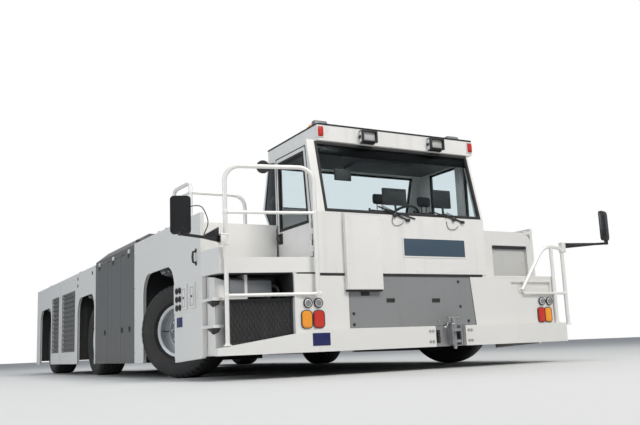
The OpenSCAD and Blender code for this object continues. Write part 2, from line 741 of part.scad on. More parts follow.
reach_x = mirror_w / 2 * cos(mirror_turn) + mirror_t / 2 * sin(mirror_turn);
reach_y = mirror_w / 2 * sin(mirror_turn) + mirror_t / 2 * cos(mirror_turn);
right_head = [-overall_w / 2 + reach_x, face_y, 1535];
left_head = [overall_w / 2 - reach_x, -overall_len / 2 + reach_y, 1645];
arm_d = 30;
foot_t = 16;

// Mirror arm: a foot plate against its clamp, and a bar out to the upright that holds the head
module mirror_arm(foot, side, head, top) {
    box(span(foot.x + side * foot_t / 2, foot_t / 2), span(foot.y, clamp_w / 2), span(foot.z, 32));
    bar(foot + [side * foot_t * 0.75, 0, 0], [head.x, head.y, foot.z], arm_d);
    bar([head.x, head.y, foot.z - arm_d / 2], [head.x, head.y, top], arm_d);
}

module mirrors() color(dark) {
    mirror_head_at(right_head.x, right_head.y, right_head.z, -mirror_turn);
    mirror_arm([right_clamp[0][0] - seam, hoop_at.y, 1340], -1, right_head, 1400);
    mirror_head_at(left_head.x, left_head.y, left_head.z, mirror_turn);
    mirror_arm([left_clamp[0][1] + seam, left_rail_y, 1384], 1, left_head, 1500);
}

turret_y = bay_y + 60 + turret_d / 2;
turret_t = 60;
turret_gap = 10;
ledge = 60;
carrier_y1 = turret_y + turret_d / 2 + 50;
cheek_x = [turret_d / 2 + 25, bay_w / 2];
ramp_hinge = [carrier_y1 + 25, turret_z - 10];
ramp_h = 520;
ramp_t = 40;

module cradle_carrier() color(dark) {
    difference() {
        box([-bay_w / 2, bay_w / 2], [bay_y, carrier_y1], [turret_z - turret_t - 30, turret_z]);
        translate([0, turret_y, turret_z - turret_t - seam]) cylinder(h = 200, d = turret_d + 2 * turret_gap);
        translate([0, turret_y, 0]) cylinder(h = 400, d = turret_d - 2 * ledge);
    }
    both_sides() box(cheek_x, [bay_y, carrier_y1], [turret_z - turret_t - 30, 480]);
    for (x = [-600, 540]) translate([x, ramp_hinge[0], ramp_hinge[1]]) rotate([0, 90, 0])
        cylinder(h = 60, d = 40);
    for (x = [-600, 540]) box([x, x + 60], [carrier_y1 - 1, ramp_hinge[0]], span(ramp_hinge[1], 18));
}

module cradle_turret() color(steel) {
    translate([0, turret_y, turret_z - turret_t]) cylinder(h = turret_t, d = turret_d);
    both_sides()
        along_x([430, 500])
            polygon([[turret_y - 450, turret_z - 1], [turret_y - 450, 640], [turret_y - 100, 640],
                [turret_y + 350, 360], [turret_y + 450, turret_z - 1]]);
    box([-500, 500], [turret_y - 480, turret_y - 420], [turret_z - 1, 700]);
}

module cradle_ramp() color(steel) {
    box([-560, 560], span(ramp_hinge[0], ramp_t / 2), [ramp_hinge[1] + 22, ramp_hinge[1] + ramp_h]);
    for (x = [-539.7, 479.7]) {
        translate([x, ramp_hinge[0], ramp_hinge[1]]) rotate([0, 90, 0]) cylinder(h = 60, d = 40);
        box([x, x + 60], span(ramp_hinge[0], 18), [ramp_hinge[1], ramp_hinge[1] + 23]);
    }
}

ring_d = 560;
ring_z = 1240;
leg_in = tyre_w / 2 + 35;
hub_d = 260;
disc_axial = [-20, 12];

knuckle_w = 300;
knuckle_top = leg_in + 120;
motor_d = 380;
flange_d = ring_d + 30;

module leg(axle, side)
    translate([side * wheel_x, wheel_y[axle], 0]) rotate([0, 0, wheel_turn[axle]])
        on_side(side) {
            translate([0, 0, ring_z - 1]) cylinder(h = axle_box_z - seam - ring_z + 1, d = ring_d);
            translate([0, 0, ring_z - 30]) cylinder(h = 31, d = flange_d);
            along_y(span(0, knuckle_w / 2)) difference() {
                polygon([[-200, ring_z - 20], [-200, ring_z - 70], [leg_in - 60, ring_z - 120],
                    [leg_in, ring_z - 180], [leg_in, wheel_z - 140], [knuckle_top, wheel_z - 140],
                    [knuckle_top, ring_z - 180], [leg_in + 20, ring_z - 20]]);
                translate([leg_in + 62, wheel_z + 330]) circle(d = 70);
            }
            for (y = [-knuckle_w / 2 + 20, knuckle_w / 2 - 20])
                along_y(span(y, 12)) polygon([[knuckle_top - 1, wheel_z + 200], [knuckle_top - 1, ring_z - 200],
                    [leg_in + 40, ring_z - 25], [knuckle_top + 30, ring_z - 25], [knuckle_top + 62, wheel_z + 200]]);
            translate([disc_axial[1] + seam, 0, wheel_z]) rotate([0, 90, 0]) {
                cylinder(h = leg_in - disc_axial[1] + 1, d = hub_d);
                translate([0, 0, leg_in - disc_axial[1] - 50]) cylinder(h = 51, d = hub_d + 90);
            }
            translate([knuckle_top - 1, 0, wheel_z]) rotate([0, 90, 0]) {
                cylinder(h = 61, d = motor_d - 120);
                cylinder(h = 26, d = motor_d - 40);
            }
        }

module leg_steered(axle, side) color(steel) leg(axle, side);

module legs_mid() color(steel) for (side = [-1, 1]) leg(MID, side);

module on_wheel(axle, side)
    translate([side * wheel_x, wheel_y[axle], wheel_z]) rotate([0, 0, wheel_turn[axle]])
        on_side(side) rotate([0, 90, 0]) children();

seat_r = 286;
bead = tyre_w / 2 - 56;

module tyre(axle, side) color(dark) on_wheel(axle, side) rotate_extrude()
    polygon(concat(
        [for (p = tyre_side) [p[0], -p[1]]],
        [for (i = [len(tyre_side) - 1:-1:0]) tyre_side[i]]));

// Side of the tyre from bead to tread: radius and distance from the wheel's middle
tyre_side = [[seat_r + seam, bead], [rim_d / 2 + 0.6, bead], [rim_d / 2 + 14, bead + 20],
    [wheel_r - 150, tyre_w / 2 - 6], [wheel_r - 100, tyre_w / 2], [wheel_r - 45, tyre_w / 2 - 9],
    [wheel_r - 12, tyre_w / 2 - 30], [wheel_r, tyre_w / 2 - 56]];

module rim(axle, side) color(white) on_wheel(axle, side) rotate_extrude()
    polygon([[0, disc_axial[0] - 50], [130, disc_axial[0] - 50], [130, disc_axial[0]],
        [seat_r - 46, disc_axial[0]], [seat_r - 22, disc_axial[0] - 30], [seat_r - 16, -bead],
        [rim_d / 2 - 6, -bead - 12], [rim_d / 2, -bead - 12], [rim_d / 2, -bead - seam], [seat_r, -bead - seam],
        [seat_r, bead + seam], [rim_d / 2, bead + seam], [rim_d / 2, bead + 12], [seat_r - 14, bead + 12],
        [seat_r - 14, disc_axial[1] + 20], [seat_r - 40, disc_axial[1]], [0, disc_axial[1]]]);

chassis_frame();
engine_blocks();
deck_plates();
mid_hood();
wheel_wells();
side_front();
side_mid();
side_rear();
arm_ends();
louvres();
side_door(-1);  // side_door_right
side_door(1);  // side_door_left
front_body();
front_bumper();
front_hatch();
radiator_pack();
hood_left();
platform_right();
cab_shell();
cab_roof();
cab_glass();
cab_door();
cab_door_glass();
cab_seats();
cab_dash();
wipers();
lamps_amber();
lamps_red();
lamps_white();
hoop_right();
guard_rails();
mirrors();
tow_coupling();
cradle_carrier();
cradle_turret();
cradle_ramp();
leg_steered(FRONT, -1);  // leg_front_right
leg_steered(FRONT, 1);  // leg_front_left
legs_mid();
leg_steered(REAR, -1);  // leg_rear_right
leg_steered(REAR, 1);  // leg_rear_left
rim(FRONT, -1);  // rim_front_right
rim(FRONT, 1);  // rim_front_left
rim(MID, -1);  // rim_mid_right
rim(MID, 1);  // rim_mid_left
rim(REAR, -1);  // rim_rear_right
rim(REAR, 1);  // rim_rear_left
tyre(FRONT, -1);  // tyre_front_right
tyre(FRONT, 1);  // tyre_front_left
tyre(MID, -1);  // tyre_mid_right
tyre(MID, 1);  // tyre_mid_left
tyre(REAR, -1);  // tyre_rear_right
tyre(REAR, 1);  // tyre_rear_left
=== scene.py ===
"""Looks of a towbarless aircraft pushback tractor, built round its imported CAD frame.

Every place is in metres in the frame of the CAD: X to the tractor's left, Y to its rear, Z up.
"""

import logging
import math
from dataclasses import dataclass, field
from enum import Enum
from typing import Any, Callable, Iterable, Sequence, Union

import bmesh
import bpy
from mathutils import Matrix, Vector


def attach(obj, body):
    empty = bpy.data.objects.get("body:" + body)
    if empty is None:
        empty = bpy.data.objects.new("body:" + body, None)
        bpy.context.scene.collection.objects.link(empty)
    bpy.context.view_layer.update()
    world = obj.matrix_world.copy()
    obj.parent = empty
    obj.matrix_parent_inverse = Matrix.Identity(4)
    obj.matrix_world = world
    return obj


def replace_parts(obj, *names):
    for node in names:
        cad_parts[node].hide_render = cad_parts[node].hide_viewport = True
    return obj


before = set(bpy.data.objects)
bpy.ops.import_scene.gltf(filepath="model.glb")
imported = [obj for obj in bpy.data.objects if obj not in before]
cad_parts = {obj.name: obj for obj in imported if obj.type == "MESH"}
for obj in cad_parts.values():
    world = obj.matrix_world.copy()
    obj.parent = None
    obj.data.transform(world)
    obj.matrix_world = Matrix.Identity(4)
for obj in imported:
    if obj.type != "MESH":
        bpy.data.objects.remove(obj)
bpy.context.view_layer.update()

log = logging.getLogger("tractor")

Point = Sequence[float]
Colour = tuple[float, float, float]

CHASSIS = "chassis"
UP = (0, 0, 1)


# Shader building


@dataclass(frozen=True)
class Signal:
    """A number that varies over a surface; Python arithmetic on it adds Math nodes."""

    graph: "Graph"
    socket: bpy.types.NodeSocket

    def maths(self, operation: str, *terms: "Number", clamp: bool = False) -> "Signal":
        """Adds one Math node.

        Args:
            operation: The node's operation.
            terms: Its inputs in order, signals or plain numbers.
            clamp: Whether the result is held between 0 and 1.

        Returns:
            The node's result.
        """
        settings = {"operation": operation, "use_clamp": clamp}
        made = self.graph.node("Math", settings, {str(i): t for i, t in enumerate(terms)})
        return Signal(self.graph, made.outputs[0])

    def __add__(self, other: "Number") -> "Signal":
        """Sum with a signal or number."""
        return self.maths("ADD", self, other)

    __radd__ = __add__

    def __sub__(self, other: "Number") -> "Signal":
        """Difference from a signal or number."""
        return self.maths("SUBTRACT", self, other)

    def __rsub__(self, other: "Number") -> "Signal":
        """A number less this signal."""
        return self.maths("SUBTRACT", other, self)

    def __mul__(self, other: "Number") -> "Signal":
        """Product with a signal or number."""
        return self.maths("MULTIPLY", self, other)

    __rmul__ = __mul__

    def __truediv__(self, other: "Number") -> "Signal":
        """Quotient by a signal or number."""
        return self.maths("DIVIDE", self, other)

    def __pow__(self, other: "Number") -> "Signal":
        """Power of this signal."""
        return self.maths("POWER", self, other)

    def size(self) -> "Signal":
        """This signal without its sign."""
        return self.maths("ABSOLUTE", self)

    def clamped(self) -> "Signal":
        """This signal held between 0 and 1."""
        return self.maths("ADD", self, 0.0, clamp=True)


Number = Union[Signal, float]


class Graph:
    """The node tree of one material."""

    def __init__(self, name: str) -> None:
        """Makes the material with a plain Principled shader.

        Args:
            name: The material's name.
        """
        self.material = bpy.data.materials.new(name)
        self.material.use_nodes = True
        self.tree = self.material.node_tree
        self.shader = self.tree.nodes["Principled BSDF"]
        self.place = self.node("TexCoord").outputs["Object"]
        self.normal = self.node("NewGeometry").outputs["Normal"]

    def node(
        self, kind: str, settings: dict[str, Any] | None = None,
        inputs: dict[str, Any] | None = None,
    ) -> bpy.types.Node:
        """Adds any node.

        Args:
            kind: The node's type, without the leading ShaderNode.
            settings: Its attributes, set first; "stops" gives a ramp's places and colours.
            inputs: Values or links by socket name, identifier or number.

        Returns:
            The new node.
        """
        made = self.tree.nodes.new("ShaderNode" + kind)
        for name, value in (settings or {}).items():
            if name == "stops":
                while len(made.color_ramp.elements) < len(value):
                    made.color_ramp.elements.new(0.5)
                for element, (where, colour) in zip(made.color_ramp.elements, value):
                    element.position, element.color = where, (*colour, 1.0)
            else:
                setattr(made, name, value)
        for name, value in (inputs or {}).items():
            self.link(made, name, value)
        return made

    def link(self, node: bpy.types.Node, name: str, value: Any) -> None:
        """Feeds one socket.

        Args:
            node: The node that has the socket.
            name: The socket's identifier, name or number.
            value: A signal, a socket, or a constant.
        """
        found = [s for s in node.inputs if s.identifier == name] or [
            s for s in node.inputs if s.name == name
        ]
        socket = found[0] if found else node.inputs[int(name)]
        if isinstance(value, Signal):
            value = value.socket
        if isinstance(value, bpy.types.NodeSocket):
            self.tree.links.new(value, socket)
        elif isinstance(value, tuple) and socket.type == "RGBA":
            socket.default_value = (*value, 1.0)
        else:
            socket.default_value = value

    def part(self, vector: bpy.types.NodeSocket, axis: int) -> Signal:
        """One component of a vector.

        Args:
            vector: The socket to split.
            axis: 0, 1 or 2.

        Returns:
            The component.
        """
        return Signal(self, self.node("SeparateXYZ", None, {"Vector": vector}).outputs[axis])

    def noise(self, scale: float, detail: float = 3.0, stretch: Point = (1, 1, 1)) -> Signal:
        """Noise over the surface.

        Args:
            scale: Features per metre.
            detail: Octaves.
            stretch: Factors on X, Y and Z.

        Returns:
            A value about 0.5.
        """
        place = self.node("Mapping", None, {"Vector": self.place, "Scale": tuple(stretch)})
        made = self.node(
            "TexNoise", None, {"Vector": place.outputs[0], "Scale": scale, "Detail": detail}
        )
        return Signal(self, made.outputs["Fac"])

    def mix(self, factor: Number, first: Any, second: Any) -> bpy.types.NodeSocket:
        """Blends two colours.

        Args:
            factor: Share of the second colour.
            first: A colour or socket.
            second: A colour or socket.

        Returns:
            The blended colour.
        """
        made = self.node(
            "Mix",
            {"data_type": "RGBA", "clamp_factor": True},
            {"Factor_Float": factor, "A_Color": first, "B_Color": second},
        )
        return next(o for o in made.outputs if o.identifier == "Result_Color")

    def bump(self, height: Signal, depth: float, strength: float = 1.0) -> bpy.types.NodeSocket:
        """Normal of a surface raised by a height.

        Args:
            height: The height, from 0 to 1.
            depth: What a height of 1 is, in metres.
            strength: Share of the effect.

        Returns:
            The bumped normal.
        """
        made = self.node("Bump", None, {"Height": height, "Distance": depth, "Strength": strength})
        return made.outputs[0]

    def set(self, **values: Any) -> None:
        """Feeds sockets of the shader; an underscore in a name stands for a space."""
        for name, value in values.items():
            self.link(self.shader, name.replace("_", " "), value)


# Finishes


@dataclass(frozen=True)
class Paint:
    """Sprayed paint on metal, with dust on top, splashes low down, streaks and small chips."""

    name: str
    colour: Colour
    gloss: float = 0.38
    grime: float = 0.5
    grime_colour: Colour = (0.19, 0.165, 0.13)
    dust: float = 0.25
    chips: float = 0.4
    splash_top: float = 0.9
    peel: float = 0.0004

    def material(self) -> bpy.types.Material:
        """Builds the material."""
        g = Graph(self.name)
        height = g.part(g.place, 2)
        up = g.part(g.normal, 2)
        broad = g.noise(0.8, 4.0)
        fine = g.noise(46.0, 6.0)
        runs = g.noise(2.2, 5.0, (5.0, 5.0, 0.22))
        tone = tuple(c * 0.93 for c in self.colour)
        colour = g.mix(((broad - 0.42) * 4.0).clamped(), self.colour, tone)
        upright = (1.0 - up.size() * 1.4).clamped()
        streak = ((runs - 0.53) * 5.0).clamped() * upright * (0.5 * self.grime)
        low = ((self.splash_top - height) / self.splash_top).clamped() ** 2.2
        splash = low * ((fine + broad - 0.75) * 1.7).clamped() * (0.95 * self.grime)
        settled = ((up - 0.6) * 3.0).clamped() * (broad * 0.7 + fine * 0.5) * self.dust
        colour = g.mix((streak + splash).clamped(), colour, self.grime_colour)
        colour = g.mix(settled.clamped(), colour, (0.42, 0.39, 0.34))
        worn = g.noise(31.0, 9.0) * 0.6 + g.noise(7.0, 3.0) * 0.4
        chip = ((worn - (0.705 - 0.03 * self.chips)) * 60.0).clamped() * min(1.0, self.chips)
        colour = g.mix(chip * 0.8, colour, (0.09, 0.08, 0.075))
        rough = (streak + splash + settled) * 0.45 + fine * 0.12 + (self.gloss - 0.06)
        g.set(Base_Color=colour, Roughness=rough.clamped(), Coat_Weight=0.0)
        orange_peel = g.noise(320.0, 1.0) * 0.5 + broad * 2.5
        g.set(Normal=g.bump(orange_peel - chip * 1.5, self.peel, 0.6))
        return g.material


@dataclass(frozen=True)
class Rubber:
    """Black rubber, greyed by wear and with dust in its hollows."""

    name: str
    colour: Colour = (0.022, 0.021, 0.021)
    dust: float = 0.35

    def material(self) -> bpy.types.Material:
        """Builds the material."""
        g = Graph(self.name)
        broad = g.noise(3.0, 5.0)
        fine = g.noise(90.0, 6.0)
        dusty = ((broad - 0.42) * 2.6).clamped() * (fine * 0.8 + 0.2) * self.dust
        g.set(
            Base_Color=g.mix(dusty.clamped(), self.colour, (0.15, 0.13, 0.105)),
            Roughness=(0.62 + dusty * 0.4 + fine * 0.12).clamped(),
            Normal=g.bump(fine, 0.0008, 0.5),
        )
        return g.material


@dataclass(frozen=True)
class Moulding:
    """Moulded plastic with a fine grain."""

    name: str
    colour: Colour
    gloss: float = 0.45
    grain: float = 260.0

    def material(self) -> bpy.types.Material:
        """Builds the material."""
        g = Graph(self.name)
        grain = g.noise(self.grain, 2.0)
        broad = g.noise(4.0, 4.0)
        up = g.part(g.normal, 2)
        settled = ((up - 0.4) * 2.0).clamped() * broad * 0.35
        g.set(
            Base_Color=g.mix(settled, self.colour, (0.3, 0.28, 0.25)),
            Roughness=(grain * 0.16 + (self.gloss - 0.08) + settled * 0.3).clamped(),
            Normal=g.bump(grain, 0.0005, 0.5),
        )
        return g.material


@dataclass(frozen=True)
class BareMetal:
    """Worked or cast metal, with scratches and darker oily patches."""

    name: str
    colour: Colour
    gloss: float = 0.34
    stain: Colour = (0.09, 0.075, 0.06)
    cover: float = 0.45

    def material(self) -> bpy.types.Material:
        """Builds the material."""
        g = Graph(self.name)
        broad = g.noise(5.0, 6.0)
        scratch = g.noise(60.0, 3.0, (1.0, 8.0, 1.0))
        stained = ((broad - 0.46) * 5.0).clamped() * self.cover
        g.set(
            Base_Color=g.mix(stained, self.colour, self.stain),
            Metallic=(1.0 - stained * 0.9).clamped(),
            Roughness=(scratch * 0.25 + (self.gloss - 0.1) + stained * 0.35).clamped(),
            Normal=g.bump(scratch, 0.0004, 0.5),
        )
        return g.material


@dataclass(frozen=True)
class Pane:
    """Tinted window glass with a faint film of dust."""

    name: str
    tint: Colour = (0.8, 0.86, 0.88)

    def material(self) -> bpy.types.Material:
        """Builds the material."""
        g = Graph(self.name)
        film = g.noise(3.0, 6.0)
        g.set(
            Base_Color=self.tint,
            Roughness=((film - 0.45) * 0.06).clamped(),
            Transmission_Weight=1.0,
            IOR=1.12,
            Specular_IOR_Level=0.6,
            Alpha=1.0,
        )
        return g.material


@dataclass(frozen=True)
class Lens:
    """Clear coloured plastic over ribs."""

    name: str
    colour: Colour
    ribs: float = 70.0

    def material(self) -> bpy.types.Material:
        """Builds the material."""
        g = Graph(self.name)
        wave = g.node("TexWave", {"bands_direction": "X"}, {"Vector": g.place, "Scale": self.ribs})
        rib = Signal(g, wave.outputs["Fac"])
        deep = tuple(c * 0.45 for c in self.colour)
        g.set(
            Base_Color=g.mix(rib * 0.6, self.colour, deep),
            Roughness=0.12,
            Coat_Weight=0.8,
            Normal=g.bump(rib, 0.0012, 0.6),
        )
        return g.material


@dataclass(frozen=True)
class Fabric:
    """Woven seat cover."""

    name: str
    colour: Colour
    threads: float = 420.0

    def material(self) -> bpy.types.Material:
        """Builds the material."""
        g = Graph(self.name)
        inputs = {"Vector": g.place, "Scale": self.threads / 6}
        warp, weft = (
            Signal(g, g.node("TexWave", {"bands_direction": axis}, inputs).outputs["Fac"])
            for axis in "XZ"
        )
        weave = warp * weft
        worn = g.noise(9.0, 4.0)
        pale = tuple(min(1.0, c * 1.9 + 0.02) for c in self.colour)
        g.set(
            Base_Color=g.mix(weave * 0.5 + worn * 0.3, self.colour, pale),
            Roughness=0.92,
            Sheen_Weight=0.3,
            Normal=g.bump(weave, 0.0008, 0.7),
        )
        return g.material


class Finish(Enum):
    """Every finish on the tractor."""

    WHITE = Paint("white_paint", (0.8, 0.79, 0.765), gloss=0.36, grime=0.55)
    SHELL = Paint("cab_paint", (0.76, 0.75, 0.73), gloss=0.3, grime=0.22, dust=0.18, chips=0.15)
    HATCH = Paint("hatch_paint", (0.24, 0.245, 0.25), gloss=0.42, grime=0.45, chips=0.5)
    DOOR_GREY = Paint("door_paint", (0.112, 0.114, 0.112), gloss=0.45, grime=0.6, chips=0.5)
    FRAME = Paint("frame_paint", (0.018, 0.018, 0.02), gloss=0.6, grime=0.35,
                  splash_top=1.2, chips=0.5)
    LEG = Paint("leg_paint", (0.075, 0.082, 0.092), gloss=0.5, grime=0.8, splash_top=1.5, chips=0.6)
    RIM = Paint("rim_paint", (0.6, 0.61, 0.6), gloss=0.4, grime=0.75, splash_top=1.3, chips=0.5)
    # Hub colour: the hub's own grey, darkened by painted shade and tinted blue by a painted sky
    # reflection in the dished face.
    HUB = Paint("hub_paint", (0.17, 0.205, 0.24), gloss=0.45, grime=0.7, splash_top=1.3, chips=0.5)
    BLACK = Moulding("black_moulding", (0.022, 0.022, 0.023))
    SATIN_BLACK = Paint("satin_black", (0.02, 0.02, 0.021), gloss=0.45, grime=0.4, chips=0.2)
    TRIM = Moulding("cab_trim", (0.055, 0.056, 0.06), gloss=0.6, grain=180.0)
    SEAL = Rubber("window_seal", (0.014, 0.014, 0.015), dust=0.12)
    TYRE = Rubber("tyre_rubber")
    STEEL = BareMetal("bare_steel", (0.46, 0.46, 0.47))
    BOLT = BareMetal("zinc_bolts", (0.6, 0.6, 0.58), gloss=0.3, cover=0.3)
    TREAD = BareMetal("tread_plate", (0.5, 0.5, 0.5), gloss=0.42, cover=0.5)
    GLASS = Pane("window_glass")
    SUN_BAND = Pane("sun_band", (0.05, 0.06, 0.07))
    MIRROR = BareMetal("mirror_glass", (0.85, 0.87, 0.88), gloss=0.11, cover=0.0)
    AMBER = Lens("amber_lens", (0.42, 0.085, 0.008))
    RED = Lens("red_lens", (0.27, 0.009, 0.01))
    CLEAR = Lens("clear_lens", (0.72, 0.73, 0.74), ribs=90.0)
    PLATE_BLUE = Moulding("blue_plate", (0.006, 0.011, 0.09), gloss=0.35)
    PLATE_SLATE = Moulding("slate_plate", (0.045, 0.075, 0.105), gloss=0.35)
    GRIT = Paint("anti_slip_paint", (0.2, 0.2, 0.2), gloss=0.75, grime=0.6, chips=0.3)
    LAMP_LENS = Lens("lamp_lens", (0.1, 0.098, 0.095), ribs=60.0)
    MIRROR_BACK = Moulding("mirror_housing", (0.012, 0.012, 0.013), gloss=0.22)
    LAMP_GREY = Paint("lamp_grey", (0.2, 0.21, 0.22), gloss=0.3, grime=0.3, chips=0.1)
    HOOD_GREY = Paint("hood_grey", (0.5, 0.5, 0.49), gloss=0.4, grime=0.4, chips=0.2)
    STEEL_DARK = BareMetal("fin_metal", (0.07, 0.07, 0.075), gloss=0.45)
    SCREEN = Moulding("dark_screen", (0.01, 0.012, 0.016), gloss=0.15)
    FABRIC = Fabric("seat_fabric", (0.03, 0.031, 0.036))
    HOSE = Rubber("hose_rubber", (0.018, 0.018, 0.019), dust=0.2)

    def material(self) -> bpy.types.Material:
        """The finish's material, built at its first use."""
        return bpy.data.materials.get(self.value.name) or self.value.material()


# Mesh building


def about(axis: Point) -> Matrix:
    """Rotation that takes +Z to an axis."""
    return Vector(axis).to_track_quat("Z", "Y").to_matrix().to_4x4()


def plane(at: Point, right: Point, up: Point = UP) -> Matrix:
    """Axes of a flat face: X to the right along it, Y up along it and Z out of it.

    Args:
        at: Where the axes start.
        right: Direction to the right as one looks at the face.
        up: Direction up along it.

    Returns:
        The placement.
    """
    x, y = Vector(right).normalized(), Vector(up).normalized()
    return Matrix.Translation(at) @ Matrix((x, y, x.cross(y))).transposed().to_4x4()


def grown(outline: Sequence[Point], by: float) -> list[Vector]:
    """Moves every side of a flat outline outwards.

    Args:
        outline: Its corners.
        by: How far; a negative distance moves inwards.

    Returns:
        The new corners.
    """
    points = [Vector(p) for p in outline]
    around = list(zip(points[-1:] + points[:-1], points, points[1:] + points[:1]))
    area = sum(a.x * b.y - b.x * a.y for a, b, _ in around)
    out = []
    for a, b, c in around:
        before, after = (b - a).normalized(), (c - b).normalized()
        n1, n2 = (Vector((d.y, -d.x)) * math.copysign(1, area) for d in (before, after))
        out.append(b + (n1 + n2) * (by / (1 + n1.dot(n2))))
    return out


def rect(x0: float, y0: float, x1: float, y1: float) -> tuple[Point, ...]:
    """Corners of a rectangle, from its lowest corner on."""
    return (x0, y0), (x1, y0), (x1, y1), (x0, y1)


def rounded(x: float, y: float, w: float, h: float, r: float) -> list[Point]:
    """Outline of a rectangle with round corners.

    Args:
        x: Its middle.
        y: Its middle, upwards.
        w: Half its width.
        h: Half its height.
        r: Radius of the corners.

    Returns:
        The outline.
    """
    points = []
    quarters = ((w - r, h - r, 0), (r - w, h - r, 90), (r - w, r - h, 180), (w - r, r - h, 270))
    for cx, cy, start in quarters:
        for k in range(5):
            a = math.radians(start + 22.5 * k)
            points.append((x + cx + r * math.cos(a), y + cy + r * math.sin(a)))
    return points


def oval(x: float, y: float, w: float, h: float) -> list[Point]:
    """Outline of a lens: its middle, half its width and half its height."""
    return rounded(x, y, w, h, min(w, h) * 0.62)


def on_circle(count: int, radius: float, start: float = 0.0) -> list[Point]:
    """Even places on a circle.

    Args:
        count: How many there are.
        radius: The circle's radius.
        start: Where the first one is, in steps.

    Returns:
        The places.
    """
    turns = [2 * math.pi * (k + start) / count for k in range(count)]
    return [(radius * math.cos(a), radius * math.sin(a)) for a in turns]


def smooth_path(points: Iterable[Point], steps: int) -> list[Vector]:
    """Smooth line through points.

    Args:
        points: The points it passes.
        steps: Steps between two of them.

    Returns:
        Points along it.
    """
    knots, out = [Vector(p) for p in points], []
    for i in range(len(knots) - 1):
        a, b, c, d = (knots[min(max(i + k, 0), len(knots) - 1)] for k in (-1, 0, 1, 2))
        for s in range(steps):
            t = s / steps
            out.append(0.5 * (2 * b + (c - a) * t + (2 * a - 5 * b + 4 * c - d) * t ** 2
                              + (3 * b - a - 3 * c + d) * t ** 3))
    return out + [knots[-1]]


